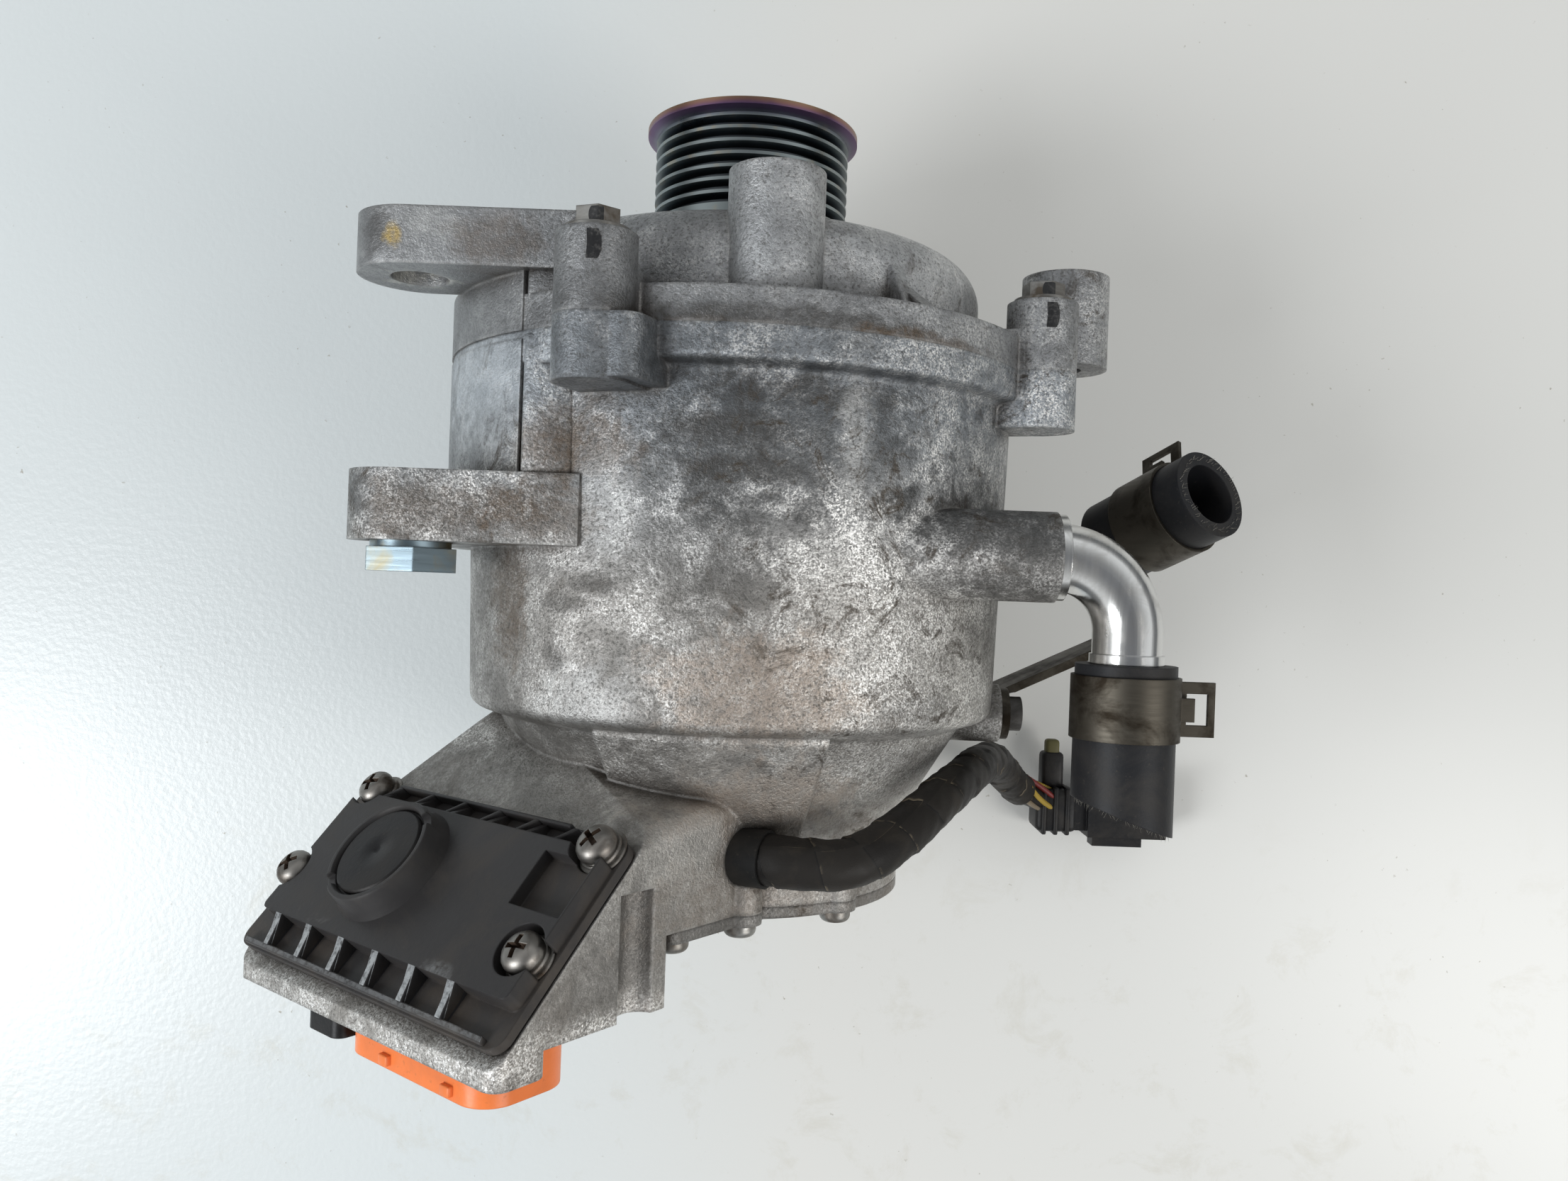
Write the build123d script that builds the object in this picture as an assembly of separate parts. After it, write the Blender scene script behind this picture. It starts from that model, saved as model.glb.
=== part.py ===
"""Liquid-cooled, belt-driven hybrid starter-generator, as an assembly of separate pieces.

Frame: origin on the rotor axis in the belt's mid-plane, +Y out through the pulley, +Z up.
The machine lies on its side as it does on a bench, with its upper coolant port to +X and
its terminal box up to the left at the rear. Sizes are in millimetres.
"""

import os
from math import cos, degrees, pi, radians, sin, sqrt, tan

from build123d import *

# ---------------------------------------------------------------- driving dimensions
FIT = 0.03  # radial room between located cylindrical pieces
RUN = 0.05  # radial room between running or sliding pieces
SEAT = 0.3  # room beside a piece that passes through a wall

# stations along the rotor axis
JOINT_Y = -57.8  # joint plane between front cover and main housing
DRUM_Y = -24.0  # front face of the cover's drum
NOSE_Y = -19.0  # front face of the bearing nose
BARREL_Y = -153.0  # rear shoulder of the barrel
PLATE_Y = -201.0  # seat of the rear cover plate
BOX_Y = -218.0  # rear face of the terminal box

# belt pulley
RIB_PITCH = 3.56
GROOVES = 7
PULLEY_D = 57.2
RIM_D = 62.4
RIB_DEPTH = 3.0
RIM_W = 3.6
PULLEY_WALL = 5.0
HUB_D = 34.0
WEB_T = 9.0
NUT_AF = 24.0
NUT_H = 11.0

# rotor
SHAFT_D = 17.0
CORE_SHAFT_D = 32.0
REAR_SHAFT_D = 15.0
ROTOR_D = 82.4
STACK_LEN = 50.0
STACK_Y = -105.0  # middle of the lamination stack
POLES = 8
MAGNET_W = 19.0
MAGNET_T = 4.0
MAGNET_R = 35.5
END_PLATE_T = 3.0
AIR_GAP = 0.8

# stator
SLOTS = 24
SLOT_W = 5.2
SLOT_DEPTH = 12.5
STATOR_D = 126.4
END_TURN_LEN = 13.0
SLEEVE_WALL = 7.1
CHANNELS = 3
CHANNEL_W = 16.0
CHANNEL_DEPTH = 3.6

# bearings
FRONT_BRG = (47.0, 14.0, 24.0, 39.0)  # outer diameter, width, inner land, outer land
REAR_BRG = (35.0, 11.0, 20.0, 29.5)

# front cover
DRUM_R = 68.5
FLANGE_R = 84.0
FLANGE_T = 8.8
COVER_WALL = 5.0
NOSE_R = 31.0
BOLT_R = 88.0
BOLT_ANGLES = (111.2, 21.2, -68.8, -158.8)
BOLT_D = 8.0
BOLT_AF = 10.0
BOLT_BOSS_R = 9.6
BOLT_HEAD_Y = -38.6
BOSS_TAIL_Y = -73.0

# pivot lugs, on one axis beside the barrel
PIVOT = (-80.9, 54.5)  # x, z
LUG_R = 15.4
ARM_PAD_STEP = 0.4  # the lugs' thick wall stands this proud of the flange
PIVOT_D = 14.6
FRONT_LUG = (-29.2, -43.2)
REAR_LUG = (-92.6, -110.0)
BUSH_D = 20.0
BUSH_THREAD_D = 12.7
BUSH_GAP = 1.6  # the bush's head stands off the lug by this
BUSH_HEAD = 6.0
BUSH_AF = 21.5

# bosses for the mounting bracket
TALL_BOSS = (9.0, 64.0, 12.0, -16.8)  # x, z, radius, front station
SIDE_BOSS = (93.5, 8.0, 12.5, -25.0)
SIDE_BOSS_REAR = -51.5
LOW_BOSS = (-46.0, -79.7, 10.8, -30.0)
LOW_BOSS_REAR = -51.5
MOUNT_TAP_D = 8.5
MOUNT_HOLE_D = 10.5
TAP_DEPTH = 13.5

# barrel
BARREL_R = 78.8
BARREL_REAR_R = 76.3
HOUSING_FLANGE_T = 8.0
REAR_DRUM_R = 50.5
REAR_DRUM_WALL = 6.0
CONE_REAR_Y = -188.0  # the raised pad on the cone meets the rear drum here
CONE_STEP = 8.7  # the cone starts this far inside the barrel's rear edge
PAD_STEP = 5.0  # and its raised pad this far
PAD_ANGLES = (68.0, 92.0, 116.5)
STAY_BOSS = (-20.0, -138.0, 10.0, -90.5)  # x, y, radius, foot height

# terminal box: t runs across it, r runs out from the rotor axis
BOX_ANGLE = 129.0
BOX_SLOPE = 45.5  # slope of its lid toward the rear
LID_T = 13.3
LID_R = 96.3
LID_Y = -196.3
LID_LEN = 107.0
LID_WIDTH = 53.0
LID_FLANGE = 2.4
LID_RISE = 5.0
GASKET_T = 0.8
BOX_WALL = 5.5
BOX_REAR_WALL = 5.5
NECK_LEAN = (0.2456, 0.1774)  # how the neck's front face leans, across and outward
NECK_FRONT = -166.2  # its station at 70 mm from the rotor axis
NECK_R = 65.0  # the rear plate's seat ends here
PAD_R = 100.0  # the connector pad starts here
PAD_Y = -224.0
LID_SCREWS = ((43.5, -23.0), (-47.0, -22.0), (-47.0, 6.5), (49.6, 5.0))
LID_SCREW_D = 5.0
LID_HEAD_D = 9.6
LID_BOSS_R = 5.4
CAP = (11.0, -3.0)
CAP_R = 11.5
COLLAR_R = 15.5
COLLAR_H = 3.6
RIB_FIRST = 39.0
LID_RIB_PITCH = 14.6
LID_RIBS = 6
LID_RIB_T = 2.6

# high-voltage connector
HV_T = (-31.2, 23.5)
HV_R = (85.0, 110.5)
HV_END_Y = -232.0
HV_WALL = 2.5
HV_CORNER = 8.0
HV_FLANGE_T = 3.0
BLADES = 3
BLADE_PITCH = 17.0

# coolant side
PORT_Y = -108.0
PORT_Z = 53.5
PORT_BOSS_R = 11.6
PORT_END_X = 82.7
TUBE_R = 8.75
TUBE_WALL = 1.5
ELBOW_R = 18.5
HOSE_R = 12.7
HOSE_WALL = 3.9
CLAMP_W = 16.0
CLAMP_T = 0.9
TAB = (10.0, 14.0)

# ---------------------------------------------------------------- helpers
BOX_RAD = radians(BOX_ANGLE)
SLOPE_RAD = radians(BOX_SLOPE)
ACROSS = Vector(-sin(BOX_RAD), 0, cos(BOX_RAD))
OUTWARD = Vector(cos(BOX_RAD), 0, sin(BOX_RAD))
DOWN_LID = OUTWARD * cos(SLOPE_RAD) + Vector(0, -1, 0) * sin(SLOPE_RAD)
LID_ORIGIN = ACROSS * LID_T + OUTWARD * LID_R + Vector(0, LID_Y, 0)
LID = Plane(origin=LID_ORIGIN, x_dir=ACROSS, z_dir=ACROSS.cross(DOWN_LID))


def station(y):
    """Plane across the rotor axis: x to +X, y to +Z, extrusion toward the rear."""
    return Plane(origin=(0, y, 0), x_dir=(1, 0, 0), z_dir=(0, -1, 0))


def box_station(y):
    """Plane across the terminal box: x across it, y outward, extrusion toward the pulley."""
    return Plane(origin=(0, y, 0), x_dir=ACROSS, z_dir=(0, 1, 0))


def outline(corners):
    """Closed face from corners (u, v, corner radius)."""
    arcs, starts, ends = [], [], []
    for i, (u, v, rad) in enumerate(corners):
        here = Vector(u, v)
        back = (Vector(*corners[i - 1][:2]) - here).normalized()
        ahead = (Vector(*corners[(i + 1) % len(corners)][:2]) - here).normalized()
        if not rad:
            starts.append(here)
            ends.append(here)
            continue
        half = radians(back.get_angle(ahead)) / 2
        reach = rad / tan(half)
        starts.append(here + back * reach)
        ends.append(here + ahead * reach)
        middle = here + (back + ahead).normalized() * (rad / sin(half) - rad)
        arcs.append(ThreePointArc(starts[-1], middle, ends[-1]))
    lines = []
    for i, end in enumerate(ends):
        start = starts[(i + 1) % len(starts)]
        if (start - end).length > 1e-6:
            lines.append(Line(end, start))
    return make_face(arcs + lines)


def spin(corners):
    """Solid of revolution about the rotor axis from corners (radius, y[, corner radius])."""
    return revolve(outline([(*c, 0)[:3] for c in corners]), Axis.Y)


def rod(radius, front, rear, x=0.0, z=0.0):
    """Cylinder parallel to the rotor axis."""
    return Pos(x, (front + rear) / 2, z) * Rot(90, 0, 0) * Cylinder(radius, front - rear)


def pipe_ring(outer, inner, front, rear, x=0.0, z=0.0):
    """Tube parallel to the rotor axis."""
    return rod(outer, front, rear, x, z) - rod(inner, front + 1, rear - 1, x, z)


def hexagon(across_flats, front, rear, x=0.0, z=0.0, turn=0.0):
    """Hexagonal prism parallel to the rotor axis."""
    face = Pos(x, z) * Rot(0, 0, turn) * RegularPolygon(across_flats / sqrt(3), 6)
    return extrude(station(front) * face, front - rear)


def polar(radius, angle):
    """Point (x, z) at a radius and an angle from +X toward +Z."""
    return radius * cos(radians(angle)), radius * sin(radians(angle))


def around(shape, count):
    """Copies of a shape turned about the rotor axis."""
    return [Rot(0, 360 * i / count, 0) * shape for i in range(count)]


def block(x, y, z):
    """Box from three (low, high) spans."""
    spans = [hi - lo for lo, hi in (x, y, z)]
    centre = [(hi + lo) / 2 for lo, hi in (x, y, z)]
    return Pos(*centre) * Box(*spans)


def box_prism(corners, front, rear):
    """Prism of the terminal box from (t, r) corners between two stations."""
    return extrude(box_station(rear) * outline(corners), front - rear)


def rect(u, v, corner=0.0):
    """Corners of a rectangle from two (low, high) spans."""
    return [
        (u[0], v[0], corner),
        (u[1], v[0], corner),
        (u[1], v[1], corner),
        (u[0], v[1], corner),
    ]


def on_lid(shape):
    """Places a shape that was made in the lid's own frame."""
    return LID * shape


def lid_block(t, d, h):
    """Box in the lid's frame: across, down the slope, height."""
    return block(t, d, h)


# ---------------------------------------------------------------- derived values
GROOVE_HALF = GROOVES * RIB_PITCH / 2
PULLEY_FRONT = GROOVE_HALF + RIM_W
PULLEY_REAR = -GROOVE_HALF - RIM_W + 1.1
ROTOR_R = ROTOR_D / 2
STATOR_BORE = ROTOR_R + AIR_GAP
STATOR_R = STATOR_D / 2
SLEEVE_IN = STATOR_R + FIT
SLEEVE_OUT = SLEEVE_IN + SLEEVE_WALL
SLEEVE_BORE = SLEEVE_OUT + FIT
STACK_FRONT = STACK_Y + STACK_LEN / 2
STACK_REAR = STACK_Y - STACK_LEN / 2
SLEEVE_FRONT = JOINT_Y - 1.0
SLEEVE_REAR = BARREL_Y + 8.0
BRG_FRONT = NOSE_Y - 2.5
BRG_REAR = BRG_FRONT - FRONT_BRG[1]
HUB_REAR = BRG_REAR - 1.0
BULKHEAD_Y = BARREL_Y + 2.0
RB_FRONT = BULKHEAD_Y
RB_REAR = RB_FRONT - REAR_BRG[1]
RESOLVER_Y = RB_REAR - 3.0
RESOLVER_R = 23.0
RESOLVER_W = 8.0
BORE_TAPER_R = BARREL_R - (BARREL_R - BARREL_REAR_R) * 0.97


def groove_profile():
    """Outer edge of the pulley from front to rear as (radius, y) corners."""
    top, root = PULLEY_D / 2, PULLEY_D / 2 - RIB_DEPTH
    crest, floor = 0.45, 0.35
    edge = [(RIM_D / 2, PULLEY_FRONT), (RIM_D / 2, PULLEY_FRONT - 1.9)]
    edge.append((top, GROOVE_HALF + crest))
    for i in range(GROOVES):
        middle = GROOVE_HALF - (i + 0.5) * RIB_PITCH
        edge.append((top, middle + RIB_PITCH / 2 - crest))
        edge.append((root, middle + floor))
        edge.append((root, middle - floor))
        edge.append((top, middle - RIB_PITCH / 2 + crest))
    edge.append((top, PULLEY_REAR))
    return edge


def pulley():
    """Poly-V belt pulley with a deep front recess and a hub on the shaft."""
    inner = PULLEY_D / 2 - RIB_DEPTH - PULLEY_WALL
    bore = SHAFT_D / 2 + FIT
    web_front = -2.0
    web_rear = web_front - WEB_T
    corners = [(inner, PULLEY_FRONT)] + groove_profile()
    corners += [(inner, PULLEY_REAR), (inner, web_rear, 1.5), (HUB_D / 2, web_rear, 1.0)]
    corners += [(HUB_D / 2, PULLEY_REAR - 1.0), (bore, PULLEY_REAR - 1.0)]
    corners += [(bore, web_front), (inner, web_front, 2.0)]
    return spin(corners)


def pulley_nut():
    """Flanged hexagon nut that holds the pulley."""
    rear = -2.0
    bore = SHAFT_D / 2 - 0.5 + FIT
    body = hexagon(NUT_AF, rear + NUT_H, rear + 2.0)
    dome = spin([(0, rear + NUT_H), (NUT_AF / 2, rear + NUT_H), (NUT_AF / 2 + 2.6, rear + 8.5),
                 (NUT_AF / 2 + 2.6, rear), (0, rear)])
    body = (body & dome) + rod(NUT_AF / 2 + 2.0, rear + 2.0, rear)
    return body - rod(bore, rear + NUT_H + 1, rear - 1)


def rotor_shaft():
    """Stepped shaft from the pulley nut to the resolver."""
    tip = NUT_H - 1.0
    thread = SHAFT_D / 2 - 0.5
    seat = CORE_SHAFT_D / 2
    shoulder = BRG_REAR - 0.2
    collar = 11.0
    end = RESOLVER_Y - RESOLVER_W - 2.0
    core_front = STACK_FRONT + END_PLATE_T
    core_rear = STACK_REAR - END_PLATE_T
    corners = [(0, tip), (thread - 1, tip), (thread, tip - 1), (thread, -2.0)]
    corners += [(SHAFT_D / 2, -2.0), (SHAFT_D / 2, shoulder), (collar, shoulder)]
    corners += [(collar, core_front + 9), (seat, core_front + 6), (seat, core_rear)]
    corners += [(collar, core_rear - 4), (collar, RB_FRONT + 0.2)]
    corners += [(REAR_SHAFT_D / 2, RB_FRONT + 0.2), (REAR_SHAFT_D / 2, RB_REAR - 0.2)]
    corners += [(6.0, RB_REAR - 0.2), (6.0, end), (0, end)]
    return spin(corners)


def bearing_rings(size, bore, front):
    """Outer and inner ring of a sealed ball bearing, the seals on the outer ring."""
    outer_d, width, land, seat = size
    rear = front - width
    lip = 1.0
    outer = spin([(seat / 2, front), (outer_d / 2 - FIT - 0.6, front),
                  (outer_d / 2 - FIT, front - 0.6), (outer_d / 2 - FIT, rear + 0.6),
                  (outer_d / 2 - FIT - 0.6, rear), (seat / 2, rear),
                  (land / 2 + RUN, rear), (land / 2 + RUN, rear + lip),
                  (seat / 2, rear + lip), (seat / 2, front - lip),
                  (land / 2 + RUN, front - lip), (land / 2 + RUN, front)])
    inner = pipe_ring(land / 2, bore / 2 + FIT, front, rear)
    return outer, inner


def rotor_core():
    """Lamination stack with pockets for the magnets and lightening holes."""
    core = pipe_ring(ROTOR_R, CORE_SHAFT_D / 2 + FIT, STACK_FRONT, STACK_REAR)
    pocket = block((-MAGNET_W / 2 - FIT, MAGNET_W / 2 + FIT),
                   (STACK_REAR - 1, STACK_FRONT + 1),
                   (MAGNET_R - MAGNET_T / 2 - FIT, MAGNET_R + MAGNET_T / 2 + FIT))
    hole = rod(3.6, STACK_FRONT + 1, STACK_REAR - 1, 0, 25.0)
    return core - around(pocket, POLES) - around(Rot(0, 180 / POLES, 0) * hole, POLES)


def rotor_magnets():
    """One flat magnet in each pocket."""
    magnet = block((-MAGNET_W / 2, MAGNET_W / 2),
                   (STACK_REAR + 0.5, STACK_FRONT - 0.5),
                   (MAGNET_R - MAGNET_T / 2, MAGNET_R + MAGNET_T / 2))
    return around(magnet, POLES)


def rotor_end_plates():
    """Plates that close the magnet pockets and carry the balancing."""
    bore = CORE_SHAFT_D / 2 + FIT
    front = pipe_ring(ROTOR_R - 0.6, bore, STACK_FRONT + END_PLATE_T, STACK_FRONT)
    rear = pipe_ring(ROTOR_R - 0.6, bore, STACK_REAR, STACK_REAR - END_PLATE_T)
    return [front, rear]


def slot_tools(width, inner, outer, front, rear):
    """One radial bar for each stator slot."""
    bar = block((-width / 2, width / 2), (rear, front), (inner, outer))
    return around(bar, SLOTS)


def stator_core():
    """Lamination stack of the stator with open slots."""
    core = pipe_ring(STATOR_R, STATOR_BORE, STACK_FRONT, STACK_REAR)
    slots = slot_tools(SLOT_W, STATOR_BORE - 2, STATOR_BORE + SLOT_DEPTH,
                       STACK_FRONT + 1, STACK_REAR - 1)
    return core - slots


def stator_winding():
    """Slot conductors with the end turns at both ends."""
    inner = STATOR_BORE + 1.5
    outer = STATOR_BORE + SLOT_DEPTH - 0.3
    front = STACK_FRONT + 0.4
    rear = STACK_REAR - 0.4
    ends = [
        spin([(inner, front), (outer + 2, front), (outer + 2, front + END_TURN_LEN, 3.0),
              (inner + 1, front + END_TURN_LEN, 3.0)]),
        spin([(inner, rear), (outer + 2, rear), (outer + 2, rear - END_TURN_LEN, 3.0),
              (inner + 1, rear - END_TURN_LEN, 3.0)]),
    ]
    bars = slot_tools(SLOT_W - 0.6, inner, outer, front + 1, rear - 1)
    return ends[0] + ends[1] + bars


def cooling_sleeve():
    """Sleeve round the stator with the coolant channels and two seal grooves."""
    edge = [(SLEEVE_OUT, SLEEVE_FRONT)]
    for y in (SLEEVE_FRONT - 5.0,):
        edge += ring_groove(y)
    pitch = CHANNEL_W + 4.0
    first = PORT_Y + pitch * (CHANNELS - 1) / 2
    for i in range(CHANNELS):
        top = first - i * pitch + CHANNEL_W / 2
        edge += [(SLEEVE_OUT, top), (SLEEVE_OUT - CHANNEL_DEPTH, top)]
        edge += [(SLEEVE_OUT - CHANNEL_DEPTH, top - CHANNEL_W), (SLEEVE_OUT, top - CHANNEL_W)]
    edge += ring_groove(SLEEVE_REAR + 5.0)
    edge += [(SLEEVE_OUT, SLEEVE_REAR), (SLEEVE_IN, SLEEVE_REAR), (SLEEVE_IN, SLEEVE_FRONT)]
    return spin(edge)


def ring_groove(y):
    """Corners of one square seal groove centred on y."""
    return [(SLEEVE_OUT, y + 1.3), (SLEEVE_OUT - 1.9, y + 1.3),
            (SLEEVE_OUT - 1.9, y - 1.3), (SLEEVE_OUT, y - 1.3)]


def sleeve_seals():
    """Rubber rings in the sleeve's two seal grooves."""
    rings = []
    for y in (SLEEVE_FRONT - 5.0, SLEEVE_REAR + 5.0):
        rings.append(pipe_ring(SLEEVE_OUT, SLEEVE_OUT - 1.85, y + 1.1, y - 1.1))
    return rings


# ---------------------------------------------------------------- front cover
def bolt_centres():
    """The four (x, z) places of the through bolts."""
    return [polar(BOLT_R, a) for a in BOLT_ANGLES]


def bolt_boss(angle, front, rear, web_front):
    """Round boss for a through bolt with a web to the body."""
    x, z = polar(BOLT_R, angle)
    web = block((DRUM_R - 6, BOLT_R), (rear, web_front), (-BOLT_BOSS_R + 0.4, BOLT_BOSS_R - 0.4))
    return rod(BOLT_BOSS_R, front, rear, x, z) + Rot(0, -angle, 0) * web


def broad_tail():
    """Thick foot beside the upper bolt boss, behind the joint."""
    foot = outline([(DRUM_R - 6, -14.6, 0), (BOLT_R + 6.2, -13.6, 5.0), (BOLT_R + 6.2, -1.0, 0),
                    (DRUM_R - 6, -1.0, 0)])
    tail = extrude(station(JOINT_Y) * foot, JOINT_Y - BOSS_TAIL_Y - 0.6)
    return Rot(0, -BOLT_ANGLES[0], 0) * tail


def lug_bar(front, rear, inner_x):
    """Pivot lug with its straight arm to the body."""
    x, z = PIVOT
    bar = block((x, inner_x), (rear, front), (z - LUG_R, z + LUG_R))
    return rod(LUG_R, front, rear, x, z) + bar


def mount_boss(place, rear):
    """Round boss parallel to the axis."""
    x, z, radius, front = place
    return rod(radius, front, rear, x, z)


def cover_ribs():
    """Stiffening ribs between the drum and the flange."""
    rib = extrude(Plane.YX * make_face(Polyline(
        (DRUM_Y - 14, DRUM_R - 3), (JOINT_Y + 3, DRUM_R - 3), (JOINT_Y + 3, FLANGE_R - 3),
        (JOINT_Y + FLANGE_T, FLANGE_R - 3), close=True)), 2.2, both=True)
    return [Rot(0, -a, 0) * rib for a in (53.0, -8.0, -35.0, -90.0, -130.0, 175.0)]


def front_cover():
    """Drive-end cover: drum, nose, flange, pivot lug, bolt bosses and bracket bosses."""
    seat = FRONT_BRG[0] / 2
    cavity = DRUM_R - COVER_WALL
    inner_front = DRUM_Y - COVER_WALL
    profile = [(19.0, NOSE_Y), (NOSE_R, NOSE_Y, 2.0), (NOSE_R + 3, DRUM_Y, 2.0)]
    profile += [(DRUM_R, DRUM_Y, 12.0), (DRUM_R, JOINT_Y + FLANGE_T), (FLANGE_R, JOINT_Y + FLANGE_T)]
    profile += [(FLANGE_R, JOINT_Y), (cavity, JOINT_Y), (cavity, inner_front, 8.0)]
    profile += [(NOSE_R - 1, inner_front), (NOSE_R - 1, HUB_REAR), (seat, HUB_REAR)]
    profile += [(seat, BRG_FRONT), (19.0, BRG_FRONT)]
    body = spin(profile)
    inside = spin([(0, NOSE_Y + 40), (19.0, NOSE_Y + 40), (19.0, BRG_FRONT), (seat, BRG_FRONT),
                   (seat, HUB_REAR), (NOSE_R - 1, HUB_REAR), (NOSE_R - 1, inner_front),
                   (cavity, inner_front, 8.0), (cavity, JOINT_Y - 5), (0, JOINT_Y - 5)])
    for angle in BOLT_ANGLES:
        body += bolt_boss(angle, BOLT_HEAD_Y, JOINT_Y, BOLT_HEAD_Y - 8)
    body += lug_bar(FRONT_LUG[0], FRONT_LUG[1], -36.0)
    body += arm_pad(FRONT_LUG[1] + 1.0, JOINT_Y)
    body += mount_boss(TALL_BOSS, JOINT_Y + 3)
    body += mount_boss(SIDE_BOSS, SIDE_BOSS_REAR)
    web_x = SIDE_BOSS[0] - MOUNT_HOLE_D / 2 - 1.0
    body += block((72, web_x), (SIDE_BOSS_REAR, JOINT_Y + 16), (SIDE_BOSS[1] - 9, SIDE_BOSS[1] + 9))
    body += mount_boss(LOW_BOSS, LOW_BOSS_REAR)
    web_z = LOW_BOSS[1] + MOUNT_HOLE_D / 2 + 1.0
    body += block((LOW_BOSS[0] - 8, LOW_BOSS[0] + 8), (LOW_BOSS_REAR, JOINT_Y + 16), (web_z, -52))
    for rib in cover_ribs():
        body += rib
    body -= inside
    for x, z in bolt_centres():
        body -= rod(BOLT_D / 2 + 0.5, 0, JOINT_Y - 1, x, z)
    body -= rod(PIVOT_D / 2, 0, -60, *PIVOT)
    body -= rod(MOUNT_TAP_D / 2, 0, TALL_BOSS[3] - TAP_DEPTH, TALL_BOSS[0], TALL_BOSS[1])
    body -= rod(MOUNT_HOLE_D / 2, 0, -60, SIDE_BOSS[0], SIDE_BOSS[1])
    body -= rod(MOUNT_HOLE_D / 2, 0, -60, LOW_BOSS[0], LOW_BOSS[1])
    for x, z in retainer_holes():
        body -= rod(2.1, HUB_REAR + 6, HUB_REAR - 1, x, z)
    return body


def retainer_holes():
    """Places of the screws in the bearing retainer."""
    return [polar(27.0, a) for a in (45, 135, 225, 315)]


def bearing_retainer():
    """Plate that holds the front bearing in the cover."""
    plate = pipe_ring(NOSE_R - 1, 14.0, HUB_REAR, HUB_REAR - 2.5)
    for x, z in retainer_holes():
        plate -= rod(2.2, HUB_REAR + 1, HUB_REAR - 4, x, z)
    return plate


def retainer_screws():
    """Screws of the bearing retainer."""
    screws = []
    for x, z in retainer_holes():
        head = rod(3.6, HUB_REAR - 2.5, HUB_REAR - 4.5, x, z)
        screws.append(head + rod(2.0, HUB_REAR + 5.5, HUB_REAR - 3, x, z))
    return screws


def through_bolts():
    """Flanged hexagon bolts through the cover into the housing."""
    bolts = []
    for x, z in bolt_centres():
        head = hexagon(BOLT_AF, BOLT_HEAD_Y + 5.5, BOLT_HEAD_Y + 1.0, x, z, 20)
        washer = rod(BOLT_BOSS_R - 1.8, BOLT_HEAD_Y + 1.3, BOLT_HEAD_Y, x, z)
        shank = rod(BOLT_D / 2, BOLT_HEAD_Y + 1, BOSS_TAIL_Y + 4, x, z)
        bolts.append(head + washer + shank)
    return bolts


# ---------------------------------------------------------------- main housing
def barrel():
    """Turned body of the housing: flange, barrel, shoulder and rear drum."""
    rear_in = REAR_DRUM_R - REAR_DRUM_WALL
    brg = REAR_BRG[0] / 2
    corners = [(SLEEVE_BORE, JOINT_Y), (FLANGE_R, JOINT_Y)]
    corners += [(FLANGE_R, JOINT_Y - HOUSING_FLANGE_T, 1.5)]
    corners += [(BARREL_R, JOINT_Y - HOUSING_FLANGE_T - 1, 2.0)]
    corners += [(BARREL_REAR_R, BARREL_Y, 4.0), (BARREL_REAR_R - CONE_STEP, BARREL_Y - 3.0)]
    corners += [(REAR_DRUM_R, CONE_REAR_Y + 4.0, 10.0)]
    corners += [(REAR_DRUM_R, PLATE_Y), (rear_in, PLATE_Y), (rear_in, BARREL_Y - 6.0)]
    corners += [(RESOLVER_R + 4, BARREL_Y - 6.0), (RESOLVER_R + 4, RESOLVER_Y - 6.0)]
    corners += [(RESOLVER_R + FIT, RESOLVER_Y - 6.0), (RESOLVER_R + FIT, RESOLVER_Y)]
    corners += [(12.5, RESOLVER_Y), (12.5, RB_REAR), (brg, RB_REAR), (brg, BULKHEAD_Y)]
    corners += [(SLEEVE_OUT - 4, BULKHEAD_Y), (SLEEVE_OUT - 4, SLEEVE_REAR)]
    corners += [(SLEEVE_BORE, SLEEVE_REAR)]
    return spin(corners)


def cone_pad():
    """Raised sector of the cone, above the passage to the terminal box."""
    top = BARREL_REAR_R - PAD_STEP
    ring = spin([(47.0, BARREL_Y + 3), (top, BARREL_Y + 3), (top, BARREL_Y - 3.0, 3.0),
                 (REAR_DRUM_R + 0.6, CONE_REAR_Y, 4.0), (47.0, CONE_REAR_Y - 0.7)])
    wedge = [(0, 0, 0)] + [polar(140, angle) + (0,) for angle in PAD_ANGLES]
    return ring & extrude(station(BARREL_Y + 6) * outline(wedge), 60)


def lid_cut(height):
    """Everything beyond the lid's plane at a height, for trimming the box."""
    return on_lid(lid_block((-150, 150), (-75, 150), (height, height + 120)))


def neck_front():
    """Everything ahead of the neck's leaning front face."""
    lean = Vector(0, 1, 0) - ACROSS * NECK_LEAN[0] + OUTWARD * NECK_LEAN[1]
    face = Plane(origin=OUTWARD * 70 + Vector(0, NECK_FRONT, 0), z_dir=lean)
    return face * Box(300, 300, 80, align=(Align.CENTER, Align.CENTER, Align.MIN))


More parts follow.
